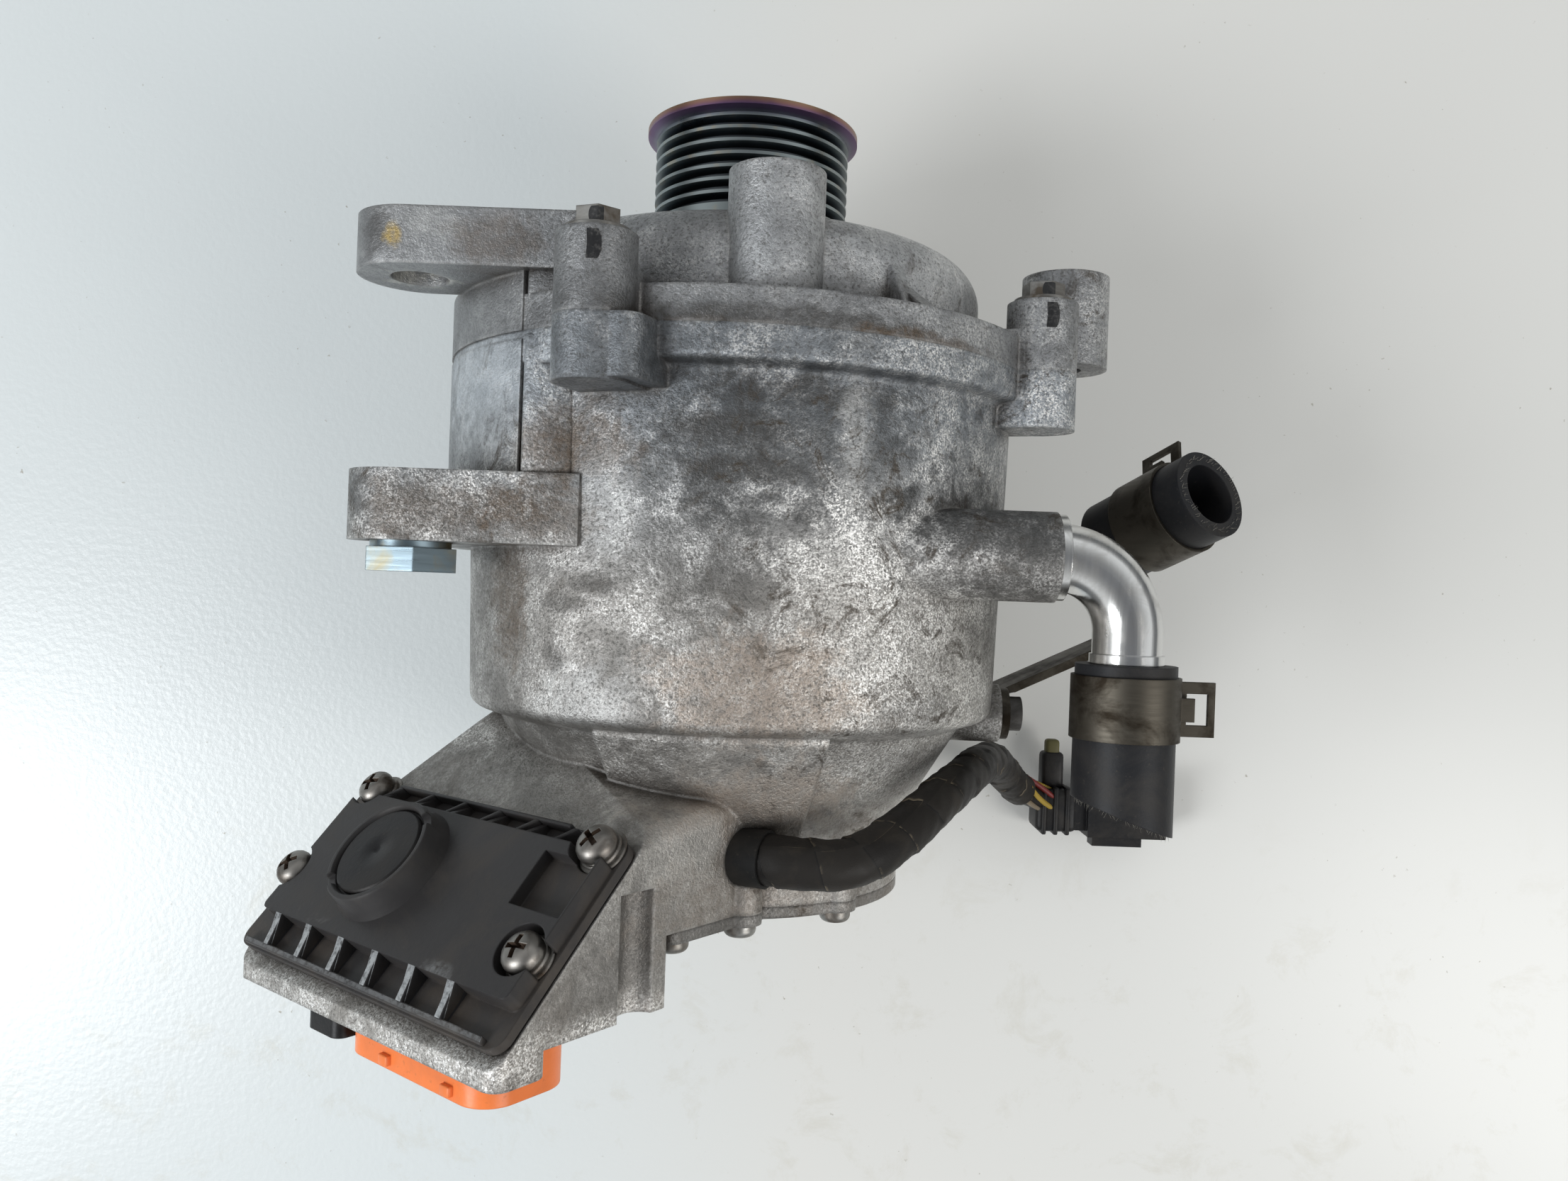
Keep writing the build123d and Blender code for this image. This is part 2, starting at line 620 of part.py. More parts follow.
def terminal_box():
    """Outside of the terminal box and its neck, trimmed to the lid's slope."""
    t0, t1 = LID_T - LID_LEN / 2, LID_T + LID_LEN / 2
    r_out = LID_R + LID_WIDTH / 2 * cos(SLOPE_RAD)
    neck = [(t0, 36, 0), (30, 36, 6), (48, 56, 8), (t1, 80, 6), (t1, r_out, 4), (t0, r_out, 4)]
    deep = [(t0, NECK_R, 2), (50, NECK_R, 3), (t1, 82, 6), (t1, r_out, 4), (t0, r_out, 4)]
    pad = rect((t0, t1), (PAD_R, r_out), 4)
    body = box_prism(neck, BARREL_Y + 6, PLATE_Y)
    body += box_prism(deep, BARREL_Y + 6, BOX_Y)
    body += box_prism(pad, BOX_Y + 20, PAD_Y)
    body -= lid_cut(-LID_FLANGE - GASKET_T)
    body -= neck_front()
    return fillet(front_corner(body, t0), 6.0)


def front_corner(body, wall_t):
    """Edge where the neck's front face meets the box's inner side wall."""
    lean = Vector(0, 1, 0) - ACROSS * NECK_LEAN[0] + OUTWARD * NECK_LEAN[1]
    origin = OUTWARD * 70 + Vector(0, NECK_FRONT, 0)
    found = []
    for edge in body.edges():
        ends = (edge @ 0, edge @ 1)
        on_wall = all(abs(end.dot(ACROSS) - wall_t) < 0.01 for end in ends)
        on_front = all(abs((end - origin).dot(lean)) < 0.01 for end in ends)
        if on_wall and on_front:
            found.append(edge)
    return found


def box_cavity():
    """Inside of the terminal box with the passage to the rear drum."""
    t0, t1 = LID_T - LID_LEN / 2 + BOX_WALL, LID_T + LID_LEN / 2 - BOX_WALL
    r_out = LID_R + LID_WIDTH / 2 * cos(SLOPE_RAD) - BOX_WALL
    r_in = LID_R - LID_WIDTH / 2 * cos(SLOPE_RAD) + BOX_WALL
    cavity = box_prism(rect((t0, t1), (r_in, r_out), 4), BARREL_Y, BOX_Y + BOX_REAR_WALL)
    passage = box_prism(rect((-16, 16), (38, r_in + 4), 3), -180, -196)
    window = box_prism(rect((-16, 16), (31, 43), 3), BULKHEAD_Y + 6, BARREL_Y - 8)
    for t, d in LID_SCREWS:
        cavity -= on_lid(Pos(t, d, -20) * Cylinder(LID_BOSS_R, 40))
    return cavity + passage + window


def rear_outline(grow=0.0):
    """Outline of the rear plate's seat: the drum, the neck and the screw ears."""
    t0 = LID_T - LID_LEN / 2
    face = Circle(REAR_DRUM_R + grow)
    neck = box_station(0) * outline([(t0, 20, 0), (30, 20, 0), (46, NECK_R, 3), (t0, NECK_R, 3)])
    return face, neck


REAR_SCREWS = ((-10.0, 67.4), (6.0, 52.5), (31.0, 35.5), (44.5, -17.0), (18.0, -44.0),
               (-28.0, -38.5), (-47.5, -5.0), (-61.0, 15.0))
REAR_EAR_R = 5.6
REAR_PLATE_T = 3.0


def rear_ears(front, rear):
    """Round ears for the rear plate's screws."""
    return [rod(REAR_EAR_R, front, rear, x, z) for x, z in REAR_SCREWS]


def port_boss():
    """Cast coolant outlet that leaves the barrel toward +X."""
    boss = Pos((25 + PORT_END_X) / 2, PORT_Y, PORT_Z) * Rot(0, 90, 0)
    boss *= Cylinder(PORT_BOSS_R, PORT_END_X - 25)
    return boss


def x_rod(radius, x0, x1, y, z):
    """Cylinder parallel to X."""
    return Pos((x0 + x1) / 2, y, z) * Rot(0, 90, 0) * Cylinder(radius, x1 - x0)


INLET_Y = -105.7
INLET_Z = -12.5
INLET_END_X = 88.0
STAY_LUG = (-152.5, 8.0, 8.4, 78.0)  # y, z, radius, outer face x
STAY_BOLT_D = 6.0


def main_housing():
    """One casting: barrel, rear drum, neck, terminal box, lugs, bosses and ports."""
    body = barrel() + cone_pad() + terminal_box()
    rear_in = REAR_DRUM_R - REAR_DRUM_WALL
    for ear in rear_ears(PLATE_Y + 12, PLATE_Y):
        body += ear
    for angle in BOLT_ANGLES:
        body += bolt_boss(angle, JOINT_Y, BOSS_TAIL_Y, JOINT_Y)
    body += broad_tail()
    body += lug_bar(REAR_LUG[0], REAR_LUG[1], -36.0)
    body += arm_pad(JOINT_Y - 2, REAR_LUG[1])
    body += port_boss()
    body += x_rod(PORT_BOSS_R, 60, INLET_END_X, INLET_Y, INLET_Z)
    body += x_rod(STAY_LUG[2], 55, STAY_LUG[3], STAY_LUG[0], STAY_LUG[1])
    x, y, radius, foot = STAY_BOSS
    body += Pos(x, y, foot) * Cylinder(radius, 30, align=(Align.CENTER, Align.CENTER, Align.MIN))
    inside = spin([(0, JOINT_Y + 1), (SLEEVE_BORE, JOINT_Y + 1), (SLEEVE_BORE, SLEEVE_REAR),
                   (SLEEVE_OUT - 4, SLEEVE_REAR), (SLEEVE_OUT - 4, BULKHEAD_Y),
                   (REAR_BRG[0] / 2, BULKHEAD_Y), (REAR_BRG[0] / 2, RB_REAR), (12.5, RB_REAR),
                   (12.5, RESOLVER_Y), (RESOLVER_R + FIT, RESOLVER_Y),
                   (RESOLVER_R + FIT, RESOLVER_Y - 6), (RESOLVER_R + 4, RESOLVER_Y - 6),
                   (RESOLVER_R + 4, BARREL_Y - 6), (rear_in, BARREL_Y - 6),
                   (rear_in, PLATE_Y - 1), (0, PLATE_Y - 1)])
    body -= inside
    body -= box_cavity()
    body -= hv_opening(SEAT)
    for x, z in bolt_centres():
        body -= rod(BOLT_D / 2 + FIT, JOINT_Y + 1, BOSS_TAIL_Y + 3, x, z)
    body -= rod(BUSH_D / 2 + RUN, -80, -120, *PIVOT)
    body -= x_rod(TUBE_R + FIT, PORT_END_X - 18, PORT_END_X + 1, PORT_Y, PORT_Z)
    body -= x_rod(TUBE_R - TUBE_WALL, 30, PORT_END_X, PORT_Y, PORT_Z)
    body -= x_rod(TUBE_R + FIT, INLET_END_X - 12, INLET_END_X + 1, INLET_Y, INLET_Z)
    body -= x_rod(TUBE_R - TUBE_WALL, 66, INLET_END_X, INLET_Y, INLET_Z)
    body -= x_rod(STAY_BOLT_D / 2 + FIT, 60, 90, STAY_LUG[0], STAY_LUG[1])
    body -= Pos(x_stay(), STAY_BOSS[1], STAY_BOSS[3]) * Cylinder(3.4, 28)
    for x, z in REAR_SCREWS:
        body -= rod(2.0 + FIT, PLATE_Y + 7, PLATE_Y - 1, x, z)
    for t, d in LID_SCREWS:
        body -= on_lid(Pos(t, d, -10) * Cylinder(LID_SCREW_D / 2 + FIT, 20))
    body -= box_station(0) * Pos(LID_T - LID_LEN / 2 - 1.5, 76.0, -212) * Cylinder(5.5, 46)
    body -= exit_rod(GROMMET_R + FIT, 14.0, 60.0)
    return body


def x_stay():
    """Side place of the stay boss."""
    return STAY_BOSS[0]


def arm_pad(front, rear):
    """Thick wall on the lug's side, between two stations."""
    ring = pipe_ring(FLANGE_R + ARM_PAD_STEP, DRUM_R - 3, front, rear)
    wedge = outline([(0, 0, 0), polar(140, 128) + (0,), polar(140, 158) + (0,),
                     polar(140, 188) + (0,)])
    return ring & extrude(station(front + 1) * wedge, 120)


def hv_opening(room):
    """Opening for the connector's neck, and the recess in the pad round its shroud."""
    neck = box_prism(hv_neck(room), BOX_Y + BOX_REAR_WALL + 1, BOX_Y - 1)
    t = (HV_T[0] - room, HV_T[1] + room)
    r = (HV_R[0] - room, HV_R[1] + room)
    return neck + box_prism(rect(t, r, HV_CORNER), BOX_Y, PAD_Y - 1)


def hv_neck(room):
    """Corners of the connector's neck through the box's rear wall."""
    t = (HV_T[0] + 5 - room, HV_T[1] - 5 + room)
    r = (HV_R[0] + 6 - room, HV_R[1] - 8.5 + room)
    return rect(t, r, 3)


# ---------------------------------------------------------------- rear end
def rear_cover():
    """Pressed plate that closes the rear drum and the neck."""
    face, neck = rear_outline()
    plate = extrude(station(PLATE_Y) * face, REAR_PLATE_T)
    t0 = LID_T - LID_LEN / 2
    plate += box_prism([(t0, 20, 0), (30, 20, 0), (44, NECK_R - 0.5, 3), (t0, NECK_R - 0.5, 3)],
                       PLATE_Y, PLATE_Y - REAR_PLATE_T)
    for ear in rear_ears(PLATE_Y, PLATE_Y - REAR_PLATE_T):
        plate += ear
    plate += spin([(0, PLATE_Y - REAR_PLATE_T), (34, PLATE_Y - REAR_PLATE_T),
                   (31, PLATE_Y - REAR_PLATE_T - 2.5), (0, PLATE_Y - REAR_PLATE_T - 2.5)])
    for x, z in REAR_SCREWS:
        plate -= rod(2.3, PLATE_Y + 1, PLATE_Y - 20, x, z)
    return plate


def rear_screws():
    """Pan-head screws of the rear plate."""
    screws = []
    for x, z in REAR_SCREWS:
        seat = PLATE_Y - REAR_PLATE_T
        head = Pos(x, seat, z) * Rot(90, 0, 0) * pan_head(4.2, 3.4)
        screws.append(head + rod(2.0, PLATE_Y + 6, seat - 1, x, z))
    return screws


def pan_head(radius, height):
    """Pan head on the XY plane, pointing +Z."""
    return revolve(Plane.XZ * outline([(0, 0, 0), (radius, 0, 0), (radius, height, height * 0.55),
                                       (0, height, 0)]), Axis.Z)


def resolver_stator():
    """Resolver winding ring in its pocket."""
    return pipe_ring(RESOLVER_R, 13.5, RESOLVER_Y, RESOLVER_Y - RESOLVER_W)


def resolver_rotor():
    """Lobed resolver rotor on the shaft's end."""
    lobes = rod(12.2, RESOLVER_Y - 1, RESOLVER_Y - RESOLVER_W + 1)
    for i in range(4):
        x, z = polar(21.5, 45 + 90 * i)
        lobes -= rod(10.5, 0, -250, x, z)
    return lobes - rod(6.0 + FIT, 0, -250)


# ---------------------------------------------------------------- terminal lid
def terminal_lid():
    """Moulded lid: flange, raised panel, ribbed pockets, cap collar and screw seats."""
    half_t, half_d = LID_LEN / 2, LID_WIDTH / 2
    body = extrude(Pos(0, 0, -LID_FLANGE) * outline(rect((-half_t, half_t), (-half_d, half_d), 4)),
                   LID_FLANGE)
    body += extrude(outline(rect((-half_t + 1, half_t - 6), (-half_d + 6, half_d - 9), 2)), LID_RISE)
    rib_h = LID_RISE - 0.2
    rib = extrude(Plane.YZ * make_face(Polyline(
        (half_d - 10, 0), (half_d - 1.5, 0), (half_d - 1.5, 1.0), (half_d - 9, rib_h),
        (half_d - 10, rib_h), close=True)), LID_RIB_T / 2, both=True)
    for i in range(LID_RIBS):
        body += Pos(RIB_FIRST - i * LID_RIB_PITCH, 0, 0) * rib
    short = extrude(Plane.YZ * make_face(Polyline(
        (-half_d + 7, 0), (-half_d + 1, 0), (-half_d + 1, 1.0), (-half_d + 6, rib_h),
        (-half_d + 7, rib_h), close=True)), 0.9, both=True)
    for t in (35.0, 20.0, 5.0, -10.0, -25.0):
        body += Pos(t, 0, 0) * short
    body += Pos(CAP[0], CAP[1], LID_RISE - 0.5) * Cone(
        COLLAR_R, COLLAR_R - 1.6, COLLAR_H + 0.5, align=(Align.CENTER, Align.CENTER, Align.MIN))
    body -= Pos(CAP[0], CAP[1], LID_RISE - 0.5 + 5) * Cylinder(CAP_R + RUN, 10)
    body -= lid_block((-52.0, -35.0), (-17.0, -2.5), (LID_RISE - 3.6, LID_RISE + 1))
    for t, d in LID_SCREWS:
        body -= Pos(t, d, 10) * Cylinder(LID_HEAD_D / 2 + 1.6, 20)
        body -= Pos(t, d, 0) * Cylinder(LID_SCREW_D / 2 + 0.4, 20)
    body -= lid_block((-half_t + 5, half_t - 10), (-half_d + 10, half_d - 13),
                      (-LID_FLANGE - 1, LID_RISE - 3.0)) - lid_block(
                          (-54.0, -33.0), (-20.0, half_d), (-10, 10))
    return on_lid(body)


def lid_gasket():
    """Flat gasket under the lid."""
    half_t, half_d = LID_LEN / 2 - 0.6, LID_WIDTH / 2 - 0.6
    inner_t, inner_d = LID_LEN / 2 - BOX_WALL + 0.4, LID_WIDTH / 2 - BOX_WALL + 0.4
    top = -LID_FLANGE
    edge = outline(rect((-half_t, half_t), (-half_d, half_d), 4))
    flat = edge - outline(rect((-inner_t, inner_t), (-inner_d, inner_d), 3))
    for t, d in LID_SCREWS:
        flat += (Pos(t, d, 0) * Circle(5.0)) & edge
    for t, d in LID_SCREWS:
        flat -= Pos(t, d, 0) * Circle(LID_SCREW_D / 2 + 0.2)
    return on_lid(extrude(Pos(0, 0, top - GASKET_T) * flat, GASKET_T))


def lid_screws():
    """Pan-head screws of the lid, each with its two washers."""
    screws = []
    for t, d in LID_SCREWS:
        head = Pos(t, d, 2.2) * pan_head(LID_HEAD_D / 2, 3.8)
        washers = Pos(t, d, 1.1) * Cylinder(LID_HEAD_D / 2 + 0.5, 2.2)
        shank = Pos(t, d, -8) * Cylinder(LID_SCREW_D / 2, 21)
        screws.append(on_lid(head + washers + shank))
    return screws


def inspection_cap():
    """Round plug in the lid's collar."""
    height = COLLAR_H - 0.1
    body = Pos(CAP[0], CAP[1], LID_RISE - 0.5 + height / 2) * Cylinder(CAP_R, height)
    body -= Pos(CAP[0], CAP[1], LID_RISE + height) * Sphere(1.0)
    return on_lid(body)


# ---------------------------------------------------------------- high-voltage side
def hv_shell():
    """Shroud of the high-voltage connector with its neck through the box's wall."""
    inner_t = (HV_T[0] + HV_WALL, HV_T[1] - HV_WALL)
    inner_r = (HV_R[0] + HV_WALL, HV_R[1] - HV_WALL)
    body = box_prism(rect(HV_T, HV_R, HV_CORNER), BOX_Y, HV_END_Y)
    body -= box_prism(rect(inner_t, inner_r, HV_CORNER - HV_WALL), BOX_Y - HV_FLANGE_T, HV_END_Y - 1)
    body += box_prism(hv_neck(0), BOX_Y + BOX_REAR_WALL, BOX_Y - 1)
    for t in blade_places():
        body -= box_prism(rect((t - 4.1, t + 4.1), (blade_r() - 0.9, blade_r() + 0.9)),
                          BOX_Y + 20, BOX_Y - 10)
    return body


def blade_places():
    """Places of the three blades across the connector."""
    middle = (HV_T[0] + HV_T[1]) / 2
    return [middle + (i - (BLADES - 1) / 2) * BLADE_PITCH for i in range(BLADES)]


def blade_r():
    """Distance of the blades from the rotor axis."""
    return (HV_R[0] + HV_R[1]) / 2 - 1.3


def hv_blades():
    """Copper blades through the connector's floor."""
    seat = BOX_Y + BOX_REAR_WALL
    blades = []
    for t in blade_places():
        span = rect((t - 4.0, t + 4.0), (blade_r() - 0.8, blade_r() + 0.8))
        blades.append(box_prism(span, seat + 5, HV_END_Y + 5))
    return blades


def signal_socket():
    """Small dark socket beside the high-voltage shroud."""
    t = (HV_T[1] + 1.5, HV_T[1] + 16.0)
    r = (PAD_R + 1.0, 111.0)
    body = box_prism(rect(t, r, 3), PAD_Y, PAD_Y - 7)
    return body - box_prism(rect((t[0] + 1.5, t[1] - 1.5), (r[0] + 1.5, r[1] - 1.5), 1.5),
                            PAD_Y - 2, PAD_Y - 9)


def terminal_block():
    """Moulded block on the floor of the box that carries the phase studs."""
    floor = BOX_Y + BOX_REAR_WALL
    block_r = LID_R - LID_WIDTH / 2 * cos(SLOPE_RAD) + BOX_WALL
    return box_prism(rect((-28, 18), (block_r + 0.2, HV_R[0] + 4.5), 1), -200, floor)


EXIT_ANGLE = radians(25.0)  # the cable leaves the drum along this line
EXIT_OFFSET = 47.5  # which passes the rotor axis at this distance
EXIT_Y = -186.5
GROMMET_R = 7.3
HARNESS_R = 6.2


def on_exit(reach):
    """Point on the cable's straight way out, at a distance from its foot."""
    x = -sin(EXIT_ANGLE) * EXIT_OFFSET + cos(EXIT_ANGLE) * reach
    z = cos(EXIT_ANGLE) * EXIT_OFFSET + sin(EXIT_ANGLE) * reach
    return Vector(x, EXIT_Y, z)


def exit_rod(radius, start, end):
    """Cylinder along the cable's way out, between two distances."""
    way = Plane(origin=on_exit(start), z_dir=on_exit(1.0) - on_exit(0.0))
    return way * Cylinder(radius, end - start, align=(Align.CENTER, Align.CENTER, Align.MIN))


# ---------------------------------------------------------------- sliding bush
def slide_bush():
    """Threaded hexagon bush that slides in the rear lug to take up the bracket's gap."""
    head_front = REAR_LUG[1] - BUSH_GAP
    head = hexagon(BUSH_AF, head_front, head_front - BUSH_HEAD, *PIVOT, 10)
    sleeve = rod(BUSH_D / 2, REAR_LUG[0] - 1.0, head_front - 1, *PIVOT)
    return head + sleeve - rod(BUSH_THREAD_D / 2, -80, -130, *PIVOT)


# ---------------------------------------------------------------- coolant pieces
def coolant_elbow():
    """Bent aluminium tube in the upper port."""
    start = PORT_END_X - 17.5
    corner_x = PORT_END_X + 0.8 + ELBOW_R
    end_y = PORT_Y - 46.0
    path = FilletPolyline((start, PORT_Y, PORT_Z), (corner_x, PORT_Y, PORT_Z),
                          (corner_x, end_y, PORT_Z), radius=ELBOW_R)
    tube = sweep(Plane(path @ 0, z_dir=path % 0) * Circle(TUBE_R), path)
    tube -= sweep(Plane(path @ 0, z_dir=path % 0) * Circle(TUBE_R - TUBE_WALL), path)
    tube += x_rod(11.0, PORT_END_X, PORT_END_X + 2.2, PORT_Y, PORT_Z) - x_rod(
        TUBE_R - 0.5, PORT_END_X - 1, PORT_END_X + 4, PORT_Y, PORT_Z)
    bead = pipe_ring(TUBE_R + 0.6, TUBE_R - 0.5, PORT_Y - 24.0, PORT_Y - 26.5, corner_x, PORT_Z)
    return tube + bead


def hose_axis():
    """Side place of the upper hose."""
    return PORT_END_X + 0.8 + ELBOW_R


def upper_hose():
    """Cut rubber hose on the elbow."""
    front = PORT_Y - 26.6
    x = hose_axis()
    hose = pipe_ring(HOSE_R, HOSE_R - HOSE_WALL, front, front - 50, x, PORT_Z)
    cut = Pos(x, front - 38.5, PORT_Z) * Rot(0, 0, -20) * Pos(0, -30, 0) * Box(80, 60, 60)
    return hose - cut


def clamp_ring():
    """Spring clamp round +Z at the origin: a band with a framed tab and a short nib."""
    inner = HOSE_R + 0.1
    band = Cylinder(inner + CLAMP_T, CLAMP_W) - Cylinder(inner, CLAMP_W + 1)
    tab = Pos(inner + TAB[0] / 2, 0, 0) * Box(TAB[0], 1.2, TAB[1])
    tab -= Pos(inner + TAB[0] / 2 + 0.5, 0, 0) * Box(TAB[0] - 4.5, 3, TAB[1] - 6)
    nib = Pos(inner + 2.0, 2.6, 0) * Box(4.0, 1.2, 6.0)
    tab -= Cylinder(inner, CLAMP_W + 1)
    nib -= Cylinder(inner, CLAMP_W + 1)
    return band + tab + nib


def upper_clamp():
    """Spring clamp on the upper hose."""
    return Pos(hose_axis(), PORT_Y - 37.4, PORT_Z) * Rot(90, 0, 0) * clamp_ring()


def inlet_path():
    """Centre line of the lower coolant pipe and its hose."""
    aim = Vector(0.496, 0.353, 0.794).normalized()
    corner = Vector(106.0, INLET_Y, INLET_Z)
    return corner, aim


def lower_pipe():
    """Bent steel pipe in the lower port."""
    corner, aim = inlet_path()
    end = corner + aim * 32.0
    path = FilletPolyline((INLET_END_X - 11.5, INLET_Y, INLET_Z), corner, end, radius=17.0)
    tube = sweep(Plane(path @ 0, z_dir=path % 0) * Circle(TUBE_R), path)
    return tube - sweep(Plane(path @ 0, z_dir=path % 0) * Circle(TUBE_R - TUBE_WALL), path)


def lower_frame(reach):
    """Plane across the lower hose at a distance from the bend's corner."""
    corner, aim = inlet_path()
    return Plane(origin=corner + aim * reach, x_dir=(0.868, -0.2, -0.453), z_dir=aim)


def lower_hose():
    """Cut rubber hose on the lower pipe."""
    length = 37.0
    hose = Cylinder(HOSE_R, length) - Cylinder(HOSE_R - HOSE_WALL, length + 2)
    return lower_frame(13.5 + length / 2) * hose


def lower_clamp():
    """Spring clamp on the lower hose."""
    return lower_frame(13.5 + 20.0) * Rot(0, 0, 84) * clamp_ring()


def pipe_stay():
    """Steel strip from the rear stay lug to the lower pipe."""
    y, z, _, face = STAY_LUG
    tab = Pos(face + 1.25, y, z) * Rot(0, 90, 0) * Cylinder(7.5, 2.5)
    strip = Plane(origin=(0, 0, -14.0)) * make_face(Polyline(
        (face, y), (face + 2.5, y), (face + 2.5, y + 5), (114, y + 21), (114, -117.0),
        (111.5, -117.0), (111.5, y + 22.5), (face, y + 6.5), close=True))
    body = extrude(strip, 22.0)
    body -= block((60, 130), (-156, -145), (15.4, 30))
    body -= x_rod(6.2, face + 2.5, face + 12, y, z)
    body += tab
    return body - x_rod(STAY_BOLT_D / 2 + 0.3, 60, 100, y, z)


def stay_bolt():
    """Bolt of the pipe stay."""
    y, z, _, face = STAY_LUG
    head = x_rod(5.0, face + 2.5, face + 6.5, y, z)
    return head + x_rod(STAY_BOLT_D / 2, 62, face + 3, y, z)


# ---------------------------------------------------------------- harness
HARNESS_POINTS = ((33.5, -187.4, 59.5), (45.5, -181.5, 50.5), (59.5, -172.5, 35.0),
                  (73.0, -168.5, 6.0), (83.0, -170.5, -26.0), (92.0, -178.5, -55.0),
                  (103.0, -189.5, -75.0), (121.0, -195.5, -80.5))
PLUG = ((122.0, 155.0), (-204.0, -187.0), (-89.0, -72.0))


def harness():
    """Taped sensor cable from the rear drum to its plug."""
    straight = [on_exit(reach) for reach in (24.0, 28.0, 32.0, 36.0, 41.0)]
    path = Spline(*straight, *HARNESS_POINTS)
    return sweep(Plane(path @ 0, z_dir=path % 0) * Circle(HARNESS_R), path)


def harness_grommet():
    """Rubber grommet where the cable leaves the rear drum."""
    return exit_rod(GROMMET_R, 22.0, 36.0) - exit_rod(HARNESS_R + 0.2, 20.0, 40.0)


def harness_plug():
    """Plug on the end of the cable."""
    x, y, z = PLUG
    body = block((x[0] + 5, x[1]), y, z)
    body += block((x[0], x[0] + 6), (y[0] + 2, y[1] - 2), (z[0] + 2, z[1] - 2))
    body -= block((x[1] - 14, x[1] + 1), (y[0] + 2, y[1] - 2), (z[0] + 2, z[1] - 2))
    latch = block((x[0] + 8, x[0] + 26), (y[0] - 4, y[0]), (z[0] + 5, z[0] + 12))
    return body + latch


# ---------------------------------------------------------------- export
def group(shapes):
    """Several solids as one node."""
    return Compound(children=list(shapes))


def main():
    os.makedirs("parts", exist_ok=True)
    front_outer, front_inner = bearing_rings(FRONT_BRG, SHAFT_D, BRG_FRONT)
    rear_outer, rear_inner = bearing_rings(REAR_BRG, REAR_SHAFT_D, RB_FRONT)
    nodes = {
        "pulley": pulley(),
        "pulley_nut": pulley_nut(),
        "rotor_shaft": rotor_shaft(),
        "rotor_core": rotor_core(),
        "rotor_magnets": group(rotor_magnets()),
        "rotor_end_plates": group(rotor_end_plates()),
        "front_bearing_inner": front_inner,
        "front_bearing_outer": front_outer,
        "rear_bearing_inner": rear_inner,
        "rear_bearing_outer": rear_outer,
        "resolver_rotor": resolver_rotor(),
        "resolver_stator": resolver_stator(),
        "stator_core": stator_core(),
        "stator_winding": stator_winding(),
        "cooling_sleeve": cooling_sleeve(),
        "sleeve_seals": group(sleeve_seals()),
        "front_cover": front_cover(),
        "bearing_retainer": bearing_retainer(),
        "retainer_screws": group(retainer_screws()),
        "through_bolts": group(through_bolts()),
        "main_housing": main_housing(),
        "rear_cover": rear_cover(),
        "rear_screws": group(rear_screws()),
        "terminal_lid": terminal_lid(),
        "lid_gasket": lid_gasket(),
        "lid_screws": group(lid_screws()),
        "inspection_cap": inspection_cap(),
        "hv_shell": hv_shell(),
        "hv_blades": group(hv_blades()),
        "signal_socket": signal_socket(),
        "terminal_block": terminal_block(),
        "slide_bush": slide_bush(),
        "coolant_elbow": coolant_elbow(),
        "upper_hose": upper_hose(),
        "upper_clamp": upper_clamp(),
        "lower_pipe": lower_pipe(),
        "lower_hose": lower_hose(),
        "lower_clamp": lower_clamp(),
        "pipe_stay": pipe_stay(),
        "stay_bolt": stay_bolt(),
        "harness": harness(),
        "harness_grommet": harness_grommet(),
        "harness_plug": harness_plug(),
    }
    for name, shape in nodes.items():
        export_step(shape, f"parts/{name}.step")


main()
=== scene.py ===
# %% [markdown]
# # A belt-driven starter-generator, seen from above
# The machine lies on its side on a pale board. Its solids come from the imported model, and each
# step below gives one of them its finish, or adds the small pieces that a solid model leaves out.
# The first cell loads the model and keeps its box.

# %% Load the solids
import bpy
import math
from mathutils import Matrix, Vector


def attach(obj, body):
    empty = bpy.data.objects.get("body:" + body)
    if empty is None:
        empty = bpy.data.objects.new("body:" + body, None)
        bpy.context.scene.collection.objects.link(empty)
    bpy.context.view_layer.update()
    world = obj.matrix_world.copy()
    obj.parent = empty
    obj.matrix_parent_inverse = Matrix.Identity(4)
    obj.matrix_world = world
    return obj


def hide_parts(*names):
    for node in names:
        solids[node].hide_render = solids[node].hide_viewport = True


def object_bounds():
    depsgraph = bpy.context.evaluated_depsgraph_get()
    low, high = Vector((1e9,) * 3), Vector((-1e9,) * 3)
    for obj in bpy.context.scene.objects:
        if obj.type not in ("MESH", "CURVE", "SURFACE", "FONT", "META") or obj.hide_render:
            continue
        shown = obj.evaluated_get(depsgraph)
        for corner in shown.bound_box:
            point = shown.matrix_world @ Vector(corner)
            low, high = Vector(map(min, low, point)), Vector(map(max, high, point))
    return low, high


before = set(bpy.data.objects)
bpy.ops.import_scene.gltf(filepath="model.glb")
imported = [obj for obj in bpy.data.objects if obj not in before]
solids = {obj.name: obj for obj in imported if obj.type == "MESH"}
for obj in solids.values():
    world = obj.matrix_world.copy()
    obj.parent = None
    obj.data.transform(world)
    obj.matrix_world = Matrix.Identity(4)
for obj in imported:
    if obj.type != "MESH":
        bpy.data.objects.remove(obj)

mm = 0.001
box_at_start = [list(corner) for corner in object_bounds()]
scene = bpy.context.scene
print("solids", len(solids), "box in mm", [[round(v / mm) for v in corner] for corner in box_at_start])

# %% [markdown]
# ## Camera
# The machine is looked at from straight above, from about 35 cm over the shaft's height. That is
# close, so near parts look larger than far ones. A lens of 27 mm on a 36 mm sensor gives the same.

